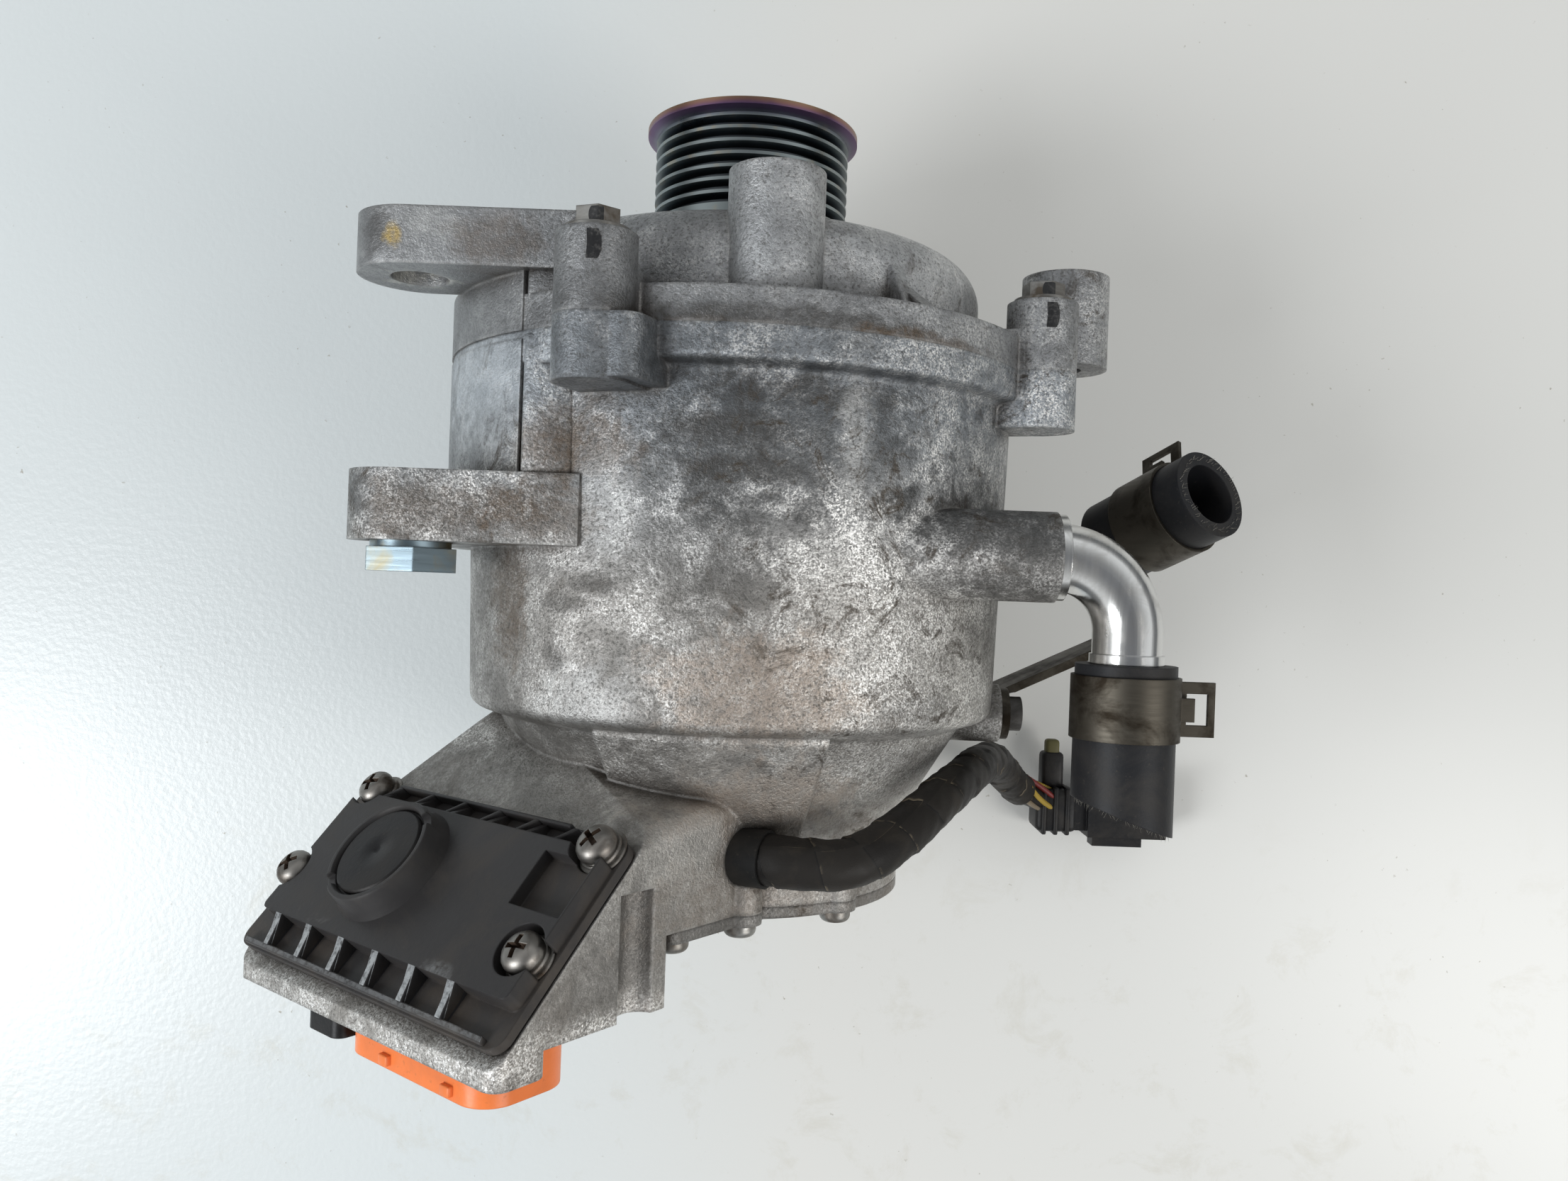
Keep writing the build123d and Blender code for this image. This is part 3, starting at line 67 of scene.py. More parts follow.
# %% Set the camera
sensor_width = 36.0
frame_width, lens_distance = 2212, 1664
roll = math.radians(2.1)
camera = bpy.data.objects.new("camera", bpy.data.cameras.new("camera"))
scene.collection.objects.link(camera)
camera.data.sensor_width = sensor_width
camera.data.lens = lens_distance / frame_width * sensor_width
camera.data.clip_start = 0.01
camera.location = (0.0142, -0.1189, 0.354)
camera.rotation_euler = (0, 0, roll)
scene.camera = camera
print("camera height", camera.location.z, "lens", round(camera.data.lens, 2))

# %% [markdown]
# ## Helpers for materials
# A material is a small network of nodes. These helpers start one with a single shader, add a node
# with its settings and its sockets in one line, and at the end join colour, roughness and relief
# to the shader, so each finish below reads as a recipe.

# %% Material helpers
def start_finish(name):
    finish = bpy.data.materials.new(name)
    finish.use_nodes = True
    finish.node_tree.nodes.clear()
    output = finish.node_tree.nodes.new("ShaderNodeOutputMaterial")
    shader = finish.node_tree.nodes.new("ShaderNodeBsdfPrincipled")
    finish.node_tree.links.new(shader.outputs["BSDF"], output.inputs["Surface"])
    return finish, shader


def fill(finish, socket, value):
    if isinstance(value, bpy.types.NodeSocket):
        finish.node_tree.links.new(value, socket)
    else:
        socket.default_value = value


def add(finish, kind, sockets, **settings):
    node = finish.node_tree.nodes.new("ShaderNode" + kind)
    for name, value in settings.items():
        setattr(node, name, value)
    for name, value in sockets.items():
        fill(finish, node.inputs[name], value)
    return node


def settle(finish, shader, colour, roughness, normal=None, metallic=0.0, gloss=0.5):
    fill(finish, shader.inputs["Base Color"], colour)
    fill(finish, shader.inputs["Roughness"], roughness)
    if normal is not None:
        fill(finish, shader.inputs["Normal"], normal)
    shader.inputs["Metallic"].default_value = metallic
    shader.inputs["Specular IOR Level"].default_value = gloss
    return finish


def paint_nodes(names, finish):
    for name in names:
        for slot in solids[name].material_slots:
            slot.material = finish


print("material helpers ready")

# %% [markdown]
# Noise in several sizes is what makes cast metal, dust and wear look real. A spread maps a noise
# to a mask between 0 and 1, a blend lays one colour over another through such a mask, and coats
# lays several, one after the other. Where two masks have to agree, they are multiplied by times.

# %% Places and directions on the surface
def object_place(finish):
    return add(finish, "TexCoord", {}).outputs["Object"]


def axes(finish):
    split = add(finish, "SeparateXYZ", {"Vector": object_place(finish)})
    return split.outputs["X"], split.outputs["Y"], split.outputs["Z"]


def facing(finish):
    return add(finish, "NewGeometry", {}).outputs["Normal"]


def rounded(finish, radius):
    return add(finish, "Bevel", {"Radius": radius}, samples=4).outputs["Normal"]


def vectors(finish, operation, first, second=(0, 0, 0)):
    node = add(finish, "VectorMath", {0: first, 1: second}, operation=operation)
    return node.outputs["Value" if operation in ("LENGTH", "DOT_PRODUCT") else "Vector"]


print("place helpers ready")

# %% Pattern helpers
def noise(finish, scale, detail=4.0, roughness=0.55, distortion=0.0, place=None):
    place = place or object_place(finish)
    sockets = {"Vector": place, "Scale": scale, "Detail": detail, "Roughness": roughness,
               "Distortion": distortion}
    return add(finish, "TexNoise", sockets).outputs["Fac"]


def spread(finish, value, low, high, start=0.0, end=1.0):
    sockets = {"Value": value, "From Min": low, "From Max": high, "To Min": start, "To Max": end}
    return add(finish, "MapRange", sockets).outputs["Result"]


def blend(finish, mask, under, over, mode="MIX"):
    mix = add(finish, "Mix", {0: mask, 6: under, 7: over}, data_type="RGBA", blend_type=mode)
    return mix.outputs[2]


def coats(finish, colour, *layers):
    for mask, tint in layers:
        colour = blend(finish, mask, colour, tint)
    return colour


def maths(finish, operation, first, second=0.0):
    return add(finish, "Math", {0: first, 1: second}, operation=operation).outputs[0]


def times(finish, product, *others):
    for other in others:
        product = maths(finish, "MULTIPLY", product, other)
    return product


def bump(finish, height, strength, distance, normal=None):
    sockets = {"Height": height, "Strength": strength, "Distance": distance}
    if normal is not None:
        sockets["Normal"] = normal
    return add(finish, "Bump", sockets).outputs["Normal"]


print("pattern helpers ready")

# %% [markdown]
# ## Board and light
# The board is a sheet of pale foam with a pebbled skin. The light is soft and comes from all
# round, a little stronger from the top left, so shadows are faint.

# %% Board
board_size, floor_z = 3.0, box_at_start[0][2]
bpy.ops.mesh.primitive_plane_add(size=board_size, location=(0, 0, floor_z))
board = bpy.context.object
board.name = "board"
finish, shader = start_finish("board_foam")
across, along, up = axes(finish)
pebble = noise(finish, 420, 2.0, 0.5)
to_left = spread(finish, across, 0.03, -0.09)
smudge = spread(finish, noise(finish, 38, 7.0, 0.74, 0.4), 0.54, 0.72)
low = times(finish, spread(finish, along, -0.19, -0.25), smudge, 0.38)
crumbs = times(finish, spread(finish, pebble, 0.72, 0.78, 0.0, 0.75),
               spread(finish, noise(finish, 14, 3.0), 0.46, 0.60))
foam = blend(finish, to_left, (0.70, 0.695, 0.665, 1), (0.655, 0.69, 0.69, 1))
colour = coats(finish, foam, (low, (0.52, 0.49, 0.40, 1)), (crumbs, (0.30, 0.27, 0.21, 1)))
skin = bump(finish, times(finish, pebble, to_left), 0.07, 0.002)
board.data.materials.append(settle(finish, shader, colour, 0.30, skin))
print("board at", round(floor_z / mm, 1), "mm")

# %% Sky
world = bpy.data.worlds.new("studio")
scene.world = world
world.use_nodes = True
sky = world.node_tree
sky.nodes.clear()
background = sky.nodes.new("ShaderNodeBackground")
sky_out = sky.nodes.new("ShaderNodeOutputWorld")
sky.links.new(background.outputs[0], sky_out.inputs[0])
direction = sky.nodes.new("ShaderNodeTexCoord")
split = sky.nodes.new("ShaderNodeSeparateXYZ")
ramp = sky.nodes.new("ShaderNodeValToRGB")
sky.links.new(direction.outputs["Generated"], split.inputs[0])
sky.links.new(split.outputs["Z"], ramp.inputs[0])
sky.links.new(ramp.outputs[0], background.inputs["Color"])
below, overhead = ramp.color_ramp.elements
below.position, below.color = 0.0, (0.16, 0.17, 0.18, 1)
overhead.position, overhead.color = 1.0, (0.22, 0.23, 0.25, 1)
for height, level in ((0.22, 0.30), (0.40, 1.05), (0.62, 0.85), (0.86, 0.42)):
    ramp.color_ramp.elements.new(height).color = (level * 0.96, level * 0.985, level, 1)
background.inputs["Strength"].default_value = 0.88
scene.view_settings.view_transform = "Standard"
print("sky bands", len(ramp.color_ramp.elements))

# %% Windows
lit_spot = Vector((0, -0.1, 0))


def soft_light(name, place, size, power, tint):
    data = bpy.data.lights.new(name, "AREA")
    data.shape = "RECTANGLE"
    data.size, data.size_y = size
    data.energy = power
    data.color = tint
    light = bpy.data.objects.new(name, data)
    scene.collection.objects.link(light)
    light.location = place
    light.rotation_euler = (lit_spot - Vector(place)).to_track_quat("-Z", "Y").to_euler()


soft_light("window_left", (-1.15, -0.55, 1.1), (0.6, 0.7), 17, (0.94, 0.97, 1.0))
soft_light("window_right", (1.2, -0.7, 1.1), (0.6, 0.9), 10, (1.0, 0.99, 0.97))

# %% [markdown]
# ## Cast aluminium
# Sand-cast skin is a dull grey film over bright metal. Where the film has worn off, bright grains
# show, and dark pits lie between them. Oil has browned the rear half. Masks steer how light, how
# warm and how grainy the skin is along the machine, and a bevel node rounds edges in the light.
# The barrel's right flank is painted lighter as a highlight, and an occlusion node darkens the
# corners with grime and painted shade.
# A blot is a ragged patch round one spot, with its centre and size in millimetres.

# %% Hollows, edges and blots
def hollow_grime_and_shade(finish, reach):
    # An occlusion node darkens hollows and corners: brown grime, and painted shade where light is blocked.
    shade = add(finish, "AmbientOcclusion", {"Distance": reach}, samples=6).outputs["AO"]
    return spread(finish, shade, 0.88, 0.45)


def edges(finish, radius):
    round_way = rounded(finish, radius)
    match = vectors(finish, "DOT_PRODUCT", round_way, facing(finish))
    return spread(finish, match, 0.985, 0.90), round_way


def blot(finish, centre, size, fade):
    centre, size = [tuple(v * mm for v in triple) for triple in (centre, size)]
    shift = vectors(finish, "SUBTRACT", object_place(finish), centre)
    reach = vectors(finish, "LENGTH", vectors(finish, "DIVIDE", shift, size))
    ragged = spread(finish, noise(finish, 120, 6.0, 0.72, 0.6), 0.25, 0.75, -0.55, 0.55)
    return spread(finish, maths(finish, "ADD", reach, ragged), 1.0, 1.0 - fade)


print("masks ready")

# %% Cast aluminium
def cast_metal(name, base, worn, grime, levels=(), blots=(), patchy=0.24, cool=1.0):
    finish, shader = start_finish(name)
    across, along, up = axes(finish)
    cloud = noise(finish, 13, 4.0, 0.6, 0.3)
    patches = noise(finish, 65, 7.0, 0.74, 0.4)
    flecks = noise(finish, 430, 5.0, 0.76, 0.2)
    grains = noise(finish, 1900, 2.0, 0.60)
    glints = noise(finish, 760, 4.0, 0.78, 0.1)
    pits = noise(finish, 1250, 3.5, 0.70)

    # Where on the machine: the rear half, its right flank with a painted highlight, the pad's face and the
    # calmer skins.
    rear = spread(finish, along, -0.072, -0.122)
    right_highlight = times(finish, spread(finish, across, 0.006, 0.034), spread(finish, along, -0.094, -0.112),
                  spread(finish, across, 0.074, 0.064))
    pad_face = spread(finish, along, -0.212, -0.216)
    smooth = spread(finish, along, -0.166, -0.174)
    sleek = times(finish, spread(finish, across, -0.048, -0.058), spread(finish, along, -0.094, -0.086))
    calm = maths(finish, "MAXIMUM", maths(finish, "SUBTRACT", smooth, pad_face), sleek)
    quiet = spread(finish, calm, 0, 1, 1.0, 0.30)

    # The dull film, and how light it is, with a painted highlight on the right flank.
    light = maths(finish, "ADD", 1.0, times(finish, right_highlight, 0.22))
    light = maths(finish, "ADD", light, times(finish, pad_face, 0.50))
    light = times(finish, light, spread(finish, cloud, 0.35, 0.65, 0.72, 1.24),
                  spread(finish, patches, 0.32, 0.68, 1.0 - patchy, 1.0 + patchy),
                  spread(finish, flecks, 0.34, 0.66, 0.84, 1.14))
    for centre, size, factor in levels:
        region = blot(finish, centre, size, 0.6)
        light = times(finish, light, spread(finish, region, 0, 1, 1.0, factor))
    cold = (base * (1.0 - 0.06 * cool), base, base * (1.0 + 0.06 * cool), 1)
    film = blend(finish, rear, cold, (base * 1.06, base * 1.01, base * 0.94, 1))
    grey = add(finish, "CombineColor", {0: light, 1: light, 2: light}).outputs[0]
    film = blend(finish, 1.0, film, grey, "MULTIPLY")

    # Bright grains where the film is open, more of them on the right flank as a painted highlight, stains
    # over them, and pits between them.
    open_skin = spread(finish, patches, 0.44, 0.60, 0.0, min(1.0, patchy * 4.2))
    open_skin = maths(finish, "ADD", open_skin, times(finish, right_highlight, 0.50))
    open_skin = times(finish, open_skin, spread(finish, cloud, 0.36, 0.56, 0.30, 1.0), quiet,
                      spread(finish, light, 0.45, 0.95, 0.15, 1.0))
    chipped = times(finish, pad_face, spread(finish, patches, 0.42, 0.56))
    flash = maths(finish, "MAXIMUM", spread(finish, grains, 0.46, 0.60, 0.0, 0.95),
                  spread(finish, glints, 0.53, 0.61, 0.0, 0.9))
    bright = times(finish, maths(finish, "MAXIMUM", open_skin, chipped), flash)
    colour = blend(finish, bright, film, (worn, worn * 0.98, worn * 0.95, 1))
    broken = spread(finish, flecks, 0.36, 0.56, 0.40, 1.0)
    for centre, size, tint, amount in blots:
        stain = times(finish, blot(finish, centre, size, 0.5), broken, amount)
        colour = blend(finish, stain, colour, tint)
    pitted = times(finish, spread(finish, pits, 0.52, 0.64, 0.0, 0.62), quiet)

    # Dirt and oil, grime with painted shade in the corners, and rubbed edges on top.
    dirt = times(finish, spread(finish, noise(finish, 75, 8.0, 0.78, 1.2), 0.54, 0.62, 0.0, grime),
                 spread(finish, noise(finish, 11, 3.0, 0.6, 0.5), 0.46, 0.58, 0.10, 1.0))
    oil = times(finish, smooth, spread(finish, noise(finish, 28, 6.0, 0.7, 0.8), 0.46, 0.64, 0.0, 0.50),
                spread(finish, across, -0.050, -0.010, 0.25, 1.0))
    # Corners darkened through the occlusion mask: grime and painted shade.
    corner = times(finish, hollow_grime_and_shade(finish, 0.007), spread(finish, patches, 0.30, 0.60, 0.35, 0.85))
    edge, round_way = edges(finish, 0.0013)
    rub = times(finish, edge, spread(finish, patches, 0.42, 0.62, 0.0, 0.5))
    colour = coats(finish, colour, (pitted, (base * 0.27, base * 0.26, base * 0.24, 1)),
                   (dirt, (0.060, 0.047, 0.034, 1)), (oil, (0.115, 0.080, 0.052, 1)),
                   (corner, (0.050, 0.038, 0.028, 1)), (rub, (worn * 0.66, worn * 0.65, worn * 0.63, 1)))
    rough = spread(finish, pits, 0.4, 0.7, 0.38, 0.60)
    rough = maths(finish, "SUBTRACT", rough, times(finish, bright, 0.10))
    relief = maths(finish, "SUBTRACT", times(finish, flecks, 0.5), times(finish, pits, 0.6))
    normal = bump(finish, relief, 0.65, 0.0007, round_way)
    return settle(finish, shader, colour, rough, normal, metallic=0.80)


print("cast recipe ready")

# %% Lighter and darker regions, one darkening a painted reflection, and stains, in millimetres
soot, rust_brown = (0.050, 0.046, 0.042, 1), (0.105, 0.072, 0.046, 1)
pale, rosy = (0.47, 0.47, 0.46, 1), (0.40, 0.325, 0.265, 1)
barrel_levels = (
    # The darkest level, on the barrel's top straight under the camera, is a painted reflection of the
    # camera and the dark ceiling.
    ((12, -84, 75), (50, 26, 50), 0.45),
    ((-6, -112, 78), (28, 22, 40), 0.72),
    ((-50, -128, 58), (22, 30, 40), 1.25),
    ((-60, -65, 50), (26, 30, 60), 1.9),
    ((2, -144, 78), (34, 16, 40), 0.84),
    ((67, -106, 60), (32, 24, 60), 0.42),
    ((-78, -101, 50), (50, 16, 60), 0.62),
    ((-45, -174, 60), (30, 20, 50), 1.3),
    ((5, -180, 60), (34, 30, 50), 1.75),
)
barrel_blots = (
    ((-34, -85, 71), (16, 12, 30), rust_brown, 0.60),
    ((-1, -81, 78), (22, 5, 30), soot, 0.65),
    ((4, -91, 78), (16, 4, 30), soot, 0.55),
    ((20, -72, 78), (34, 4, 30), soot, 0.60),
    ((30, -82, 75), (5, 22, 30), pale, 0.60),
    ((-31, -101, 71), (12, 14, 30), pale, 0.50),
    ((-34, -147, 70), (18, 12, 30), pale, 0.60),
    ((-40, -124, 69), (9, 3, 30), soot, 0.65),
    ((-32, -119, 69), (7, 3, 30), soot, 0.65),
    ((-42, -137, 66), (4, 5, 30), soot, 0.60),
    ((-46, -103, 68), (16, 10, 30), rust_brown, 0.55),
    ((-56, -123, 55), (8, 22, 30), rust_brown, 0.70),
    ((10, -143, 78), (30, 18, 30), rosy, 0.62),
    ((50, -150, 60), (12, 8, 30), soot, 0.50),
    ((16, -172, 66), (36, 12, 30), rosy, 0.60),
    ((0, -198, 50), (28, 18, 50), rust_brown, 0.50),
    ((-70, -102, 68), (24, 10, 40), rust_brown, 0.50),
    ((-45, -88, 68), (10, 16, 40), rust_brown, 0.60),
)
cover_levels = (
    ((-88, -36, 64), (24, 12, 40), 0.85),
    ((0, -58, 80), (120, 10, 120), 0.74),
    ((10, -34, 70), (20, 30, 40), 1.35),
    ((45, -35, 55), (34, 22, 50), 1.40),
    ((96, -43, 30), (22, 36, 40), 0.74),
)
cover_blots = (
    ((35, -45, 70), (24, 6, 30), soot, 0.55),
    ((-10, -60, 82), (30, 4, 30), rust_brown, 0.60),
    ((-88, -35, 67), (5, 9, 20), soot, 0.60),
    ((-73, -34, 70), (12, 5, 30), pale, 0.50),
    ((-59, -37, 69), (13, 9, 30), rust_brown, 0.55),
    ((-83, -36.5, 69), (3, 3.6, 10), (0.42, 0.30, 0.10, 1), 0.80),
    ((-80.9, -36.2, 54.5), (10, 14, 10), (0.66, 0.64, 0.58, 1), 0.85),
    ((14, -56, 86), (50, 3.4, 30), soot, 0.70),
    ((50, -57.5, 76), (24, 3, 30), rust_brown, 0.75),
)
print("stains", len(barrel_blots) + len(cover_blots))

# %% Housing, cover and plate
housing_finish = cast_metal("cast_housing", 0.26, 0.95, 0.85, barrel_levels, barrel_blots)
cover_finish = cast_metal("cast_cover", 0.31, 0.90, 0.85, cover_levels, cover_blots, patchy=0.13, cool=0.25)
plate_finish = cast_metal("pressed_cover", 0.16, 0.55, 0.7)
paint_nodes(["main_housing"], housing_finish)
paint_nodes(["front_cover"], cover_finish)
paint_nodes(["rear_cover"], plate_finish)
print("cast finishes", housing_finish.name, cover_finish.name)

# %% [markdown]
# ## Turned and plated metal
# Turned steel and drawn tube are smooth, with fine rings round their axis. Plated fasteners are
# duller, with a broken tint. One recipe covers them all, and a table gives each metal its colour,
# its stain, its roughness and the solids that are made of it.

# %% Smooth metals
def smooth_metal(name, colour, stain, roughness, streak=0.12, axis=1):
    finish, shader = start_finish(name)
    scale = tuple(900 if i == axis else 60 for i in range(3))
    stretched = add(finish, "Mapping", {"Vector": object_place(finish), "Scale": scale}).outputs[0]
    lines = noise(finish, 1.0, 2.0, 0.5, 0.0, stretched)
    mask = spread(finish, noise(finish, 90, 5.0, 0.62, 0.5), 0.46, 0.66)
    rough = maths(finish, "ADD", spread(finish, lines, 0.3, 0.7, roughness, roughness + streak),
                  times(finish, mask, 0.12))
    normal = bump(finish, lines, 0.12, 0.0002, rounded(finish, 0.0004))
    return settle(finish, shader, blend(finish, mask, colour, stain), rough, normal, metallic=1.0)


tube_finish = smooth_metal("drawn_tube", (0.66, 0.66, 0.65, 1), (0.50, 0.49, 0.47, 1), 0.13,
                           streak=0.07, axis=0)
paint_nodes(["coolant_elbow", "lower_pipe", "rotor_end_plates", "cooling_sleeve"], tube_finish)
print("smooth recipe ready")

# %% Metals and the solids made of them
metals = (
    ("zinc_plate", (0.30, 0.295, 0.28, 1), (0.12, 0.10, 0.08, 1), 0.34,
     ("through_bolts", "rear_screws", "lid_screws")),
    ("passivated_zinc", (0.27, 0.345, 0.39, 1), (0.34, 0.30, 0.19, 1), 0.26, ("slide_bush",)),
    ("clamp_strip", (0.085, 0.076, 0.062, 1), (0.028, 0.022, 0.016, 1), 0.42,
     ("upper_clamp", "lower_clamp", "pipe_stay")),
    ("phosphated_steel", (0.12, 0.115, 0.11, 1), (0.055, 0.05, 0.045, 1), 0.45,
     ("pulley_nut", "retainer_screws", "stay_bolt", "rotor_shaft")),
    ("ground_steel", (0.56, 0.57, 0.58, 1), (0.38, 0.38, 0.38, 1), 0.18,
     ("front_bearing_inner", "front_bearing_outer", "rear_bearing_inner", "rear_bearing_outer",
      "bearing_retainer")),
    ("sheet_stack", (0.26, 0.27, 0.29, 1), (0.16, 0.15, 0.15, 1), 0.40,
     ("rotor_core", "resolver_rotor", "resolver_stator", "stator_core")),
    ("nickelled_magnet", (0.42, 0.43, 0.44, 1), (0.30, 0.30, 0.30, 1), 0.28, ("rotor_magnets",)),
    ("bare_copper", (0.72, 0.36, 0.20, 1), (0.42, 0.20, 0.12, 1), 0.30, ("stator_winding", "hv_blades")),
)
for name, colour, stain, roughness, nodes in metals:
    paint_nodes(nodes, smooth_metal(name, colour, stain, roughness))
print("smooth metals", 1 + len(metals))

# %% [markdown]
# ## Pulley
# The pulley is blued steel. Its front rim was heated most, so it runs from purple to gold, and the
# ribs are blue-grey. Their crests are painted lighter, as wear and as painted highlight, and the
# groove bottoms are painted dark as shade. The tint follows the distance along the shaft, and
# the flat front face is dark steel with the fine rings that a lathe leaves.

# %% Heat tint
finish, shader = start_finish("blued_pulley")
across, along, up = axes(finish)
from_axis = add(finish, "CombineXYZ", {"X": across, "Y": 0.0, "Z": up}).outputs["Vector"]
radius = vectors(finish, "LENGTH", from_axis)
cloud = noise(finish, 45, 4.0, 0.6, 0.6)
heat = maths(finish, "ADD", spread(finish, along, 0.010, 0.017), times(finish, cloud, 0.25))
tint = add(finish, "ValToRGB", {"Fac": heat})
cool_end, hot_end = tint.color_ramp.elements
cool_end.position, cool_end.color = 0.10, (0.10, 0.12, 0.135, 1)
hot_end.position, hot_end.color = 1.0, (0.30, 0.20, 0.12, 1)
for position, colour in ((0.45, (0.11, 0.13, 0.165, 1)), (0.70, (0.17, 0.10, 0.20, 1)),
                         (0.86, (0.28, 0.15, 0.13, 1))):
    tint.color_ramp.elements.new(position).color = colour
print("pulley tint stops", len(tint.color_ramp.elements))

# %% Pulley steel
# Crests lighter as wear and painted highlight, groove bottoms darker as painted shade.
crest_wear_and_highlight = times(finish, spread(finish, radius, 0.0272, 0.0284), spread(finish, along, 0.0135, 0.0120))
valley_shade = spread(finish, radius, 0.0270, 0.0262, 0.0, 0.55)
gold = spread(finish, noise(finish, 160, 3.0, 0.6), 0.55, 0.68, 0.0, 0.35)
face = times(finish, spread(finish, along, 0.0146, 0.0154), spread(finish, radius, 0.0302, 0.0288))
colour = coats(finish, tint.outputs["Color"], (times(finish, crest_wear_and_highlight, 0.75), (0.32, 0.36, 0.36, 1)),
               (valley_shade, (0.035, 0.032, 0.030, 1)), (times(finish, crest_wear_and_highlight, gold), (0.44, 0.34, 0.20, 1)),
               (face, (0.115, 0.125, 0.145, 1)))
ring_place = add(finish, "CombineXYZ", {"X": radius, "Y": along, "Z": 0.0}).outputs["Vector"]
rings = bump(finish, noise(finish, 2400, 3.0, 0.6, 0.0, ring_place), 0.25, 0.0001)
settle(finish, shader, colour, spread(finish, cloud, 0.3, 0.7, 0.26, 0.42), rings, metallic=1.0)
paint_nodes(["pulley"], finish)
print("pulley finish", finish.name)

# %% [markdown]
# ## Rubber and plastic
# Old rubber and moulded plastic are near black under a film of brown dust, which lies on faces
# that look up. The same recipe serves hoses, seals, the cap and the plugs, with other numbers.

# %% Dusty polymers
def polymer(name, colour, dust, amount, roughness, grain=900, gloss=0.22):
    finish, shader = start_finish(name)
    cloud = noise(finish, 55, 6.0, 0.65, 0.5)
    fine = noise(finish, grain, 3.0, 0.6)
    upward = add(finish, "SeparateXYZ", {"Vector": facing(finish)}).outputs["Z"]
    film = times(finish, spread(finish, cloud, 0.42, 0.70, 0.0, amount),
                 spread(finish, upward, 0.35, 1.0, 0.35, 1.0))
    mask = maths(finish, "MAXIMUM", film, spread(finish, fine, 0.62, 0.74, 0.0, amount))
    rough = maths(finish, "ADD", roughness, times(finish, mask, 0.3))
    normal = bump(finish, fine, 0.25, 0.0002, rounded(finish, 0.0005))
    return settle(finish, shader, blend(finish, mask, colour, dust), rough, normal, gloss=gloss)


brown_dust = (0.105, 0.088, 0.068, 1)
hose_finish = polymer("hose_rubber", (0.012, 0.0125, 0.0145, 1), brown_dust, 0.26, 0.48)
seal_finish = polymer("seal_rubber", (0.008, 0.008, 0.008, 1), brown_dust, 0.25, 0.6)
dark_plastic = polymer("socket_plastic", (0.009, 0.009, 0.010, 1), brown_dust, 0.2, 0.4)
cap_finish = polymer("cap_plastic", (0.013, 0.0125, 0.0135, 1), brown_dust, 0.22, 0.42)
orange_finish = polymer("orange_plastic", (0.90, 0.225, 0.058, 1), (0.22, 0.065, 0.03, 1), 0.36, 0.34,
                        grain=520, gloss=0.4)
paint_nodes(["upper_hose", "lower_hose"], hose_finish)
paint_nodes(["sleeve_seals", "lid_gasket", "harness_grommet"], seal_finish)
paint_nodes(["inspection_cap"], cap_finish)
paint_nodes(["signal_socket", "terminal_block", "harness_plug"], dark_plastic)
paint_nodes(["hv_shell"], orange_finish)
print("polymers done")

# %% [markdown]
# ## Lid
# The lid is one moulding in dull black. Its ribs stand highest, so their tops are scuffed to grey,
# and dust keeps to the pockets between them. The lid leans, so the wear follows three directions
# of its own: across it, down it and up out of it, each a dot product with the place on the lid.

# %% Lid directions
def frame_of(origin, across, along, out):
    matrix = Matrix((across, along, out)).transposed().to_4x4()
    matrix.translation = origin
    return matrix


lid_origin = Vector((-0.0709, -0.1963, 0.0665))
lid_across = Vector((-0.77715, 0.0, -0.62932))
lid_down = Vector((-0.4411, -0.71325, 0.54472))
lid_up = Vector((-0.44886, 0.70092, 0.55430))
lid_frame = frame_of(lid_origin, lid_across, lid_down, lid_up)


def along_lid(finish, direction):
    shift = vectors(finish, "SUBTRACT", object_place(finish), tuple(lid_origin))
    return vectors(finish, "DOT_PRODUCT", shift, tuple(direction))


def lid_lean(finish):
    return vectors(finish, "DOT_PRODUCT", facing(finish), tuple(lid_up))


print("lid leans", round(math.degrees(lid_up.angle(Vector((0, 0, 1)))), 1), "degrees from upright")

# %% Lid plastic
lid_finish, shader = start_finish("lid_plastic")
finish = lid_finish
cloud = noise(finish, 60, 6.0, 0.66, 0.5)
fine = noise(finish, 800, 3.0, 0.6)
height = along_lid(finish, lid_up)
low_edge = spread(finish, along_lid(finish, lid_down), 0.0140, 0.0162)
pocket = times(finish, spread(finish, height, 0.0032, 0.0006), spread(finish, cloud, 0.34, 0.66, 0.0, 0.55))
film = spread(finish, cloud, 0.46, 0.72, 0.0, 0.40)
lean = lid_lean(finish)
flat_top = times(finish, spread(finish, lean, 0.70, 0.95), spread(finish, cloud, 0.52, 0.66, 0.0, 0.45))
sloped = times(finish, spread(finish, lean, 0.80, 0.86), spread(finish, lean, 0.97, 0.93))
scuff = times(finish, low_edge, spread(finish, height, 0.0006, 0.0022), spread(finish, fine, 0.30, 0.55),
              maths(finish, "MAXIMUM", sloped, flat_top))
colour = coats(finish, (0.035, 0.033, 0.033, 1), (pocket, (0.080, 0.064, 0.051, 1)),
               (film, (0.075, 0.064, 0.052, 1)), (scuff, (0.27, 0.28, 0.285, 1)))
normal = bump(finish, fine, 0.22, 0.0002, rounded(finish, 0.0006))
settle(finish, shader, colour, spread(finish, cloud, 0.3, 0.7, 0.38, 0.52), normal, gloss=0.26)
paint_nodes(["terminal_lid"], lid_finish)
print("lid finish", lid_finish.name)

# %% [markdown]
# ## Turned pieces and blocks
# Screw heads and washers are round, so they are drawn as a circle that is pulled up step by step,
# and made wider or narrower at each step, as a lathe would. Nubs, ribs and plugs start as a cube
# of unit size. An operator acts on all that is selected, so a piece is always held alone first.

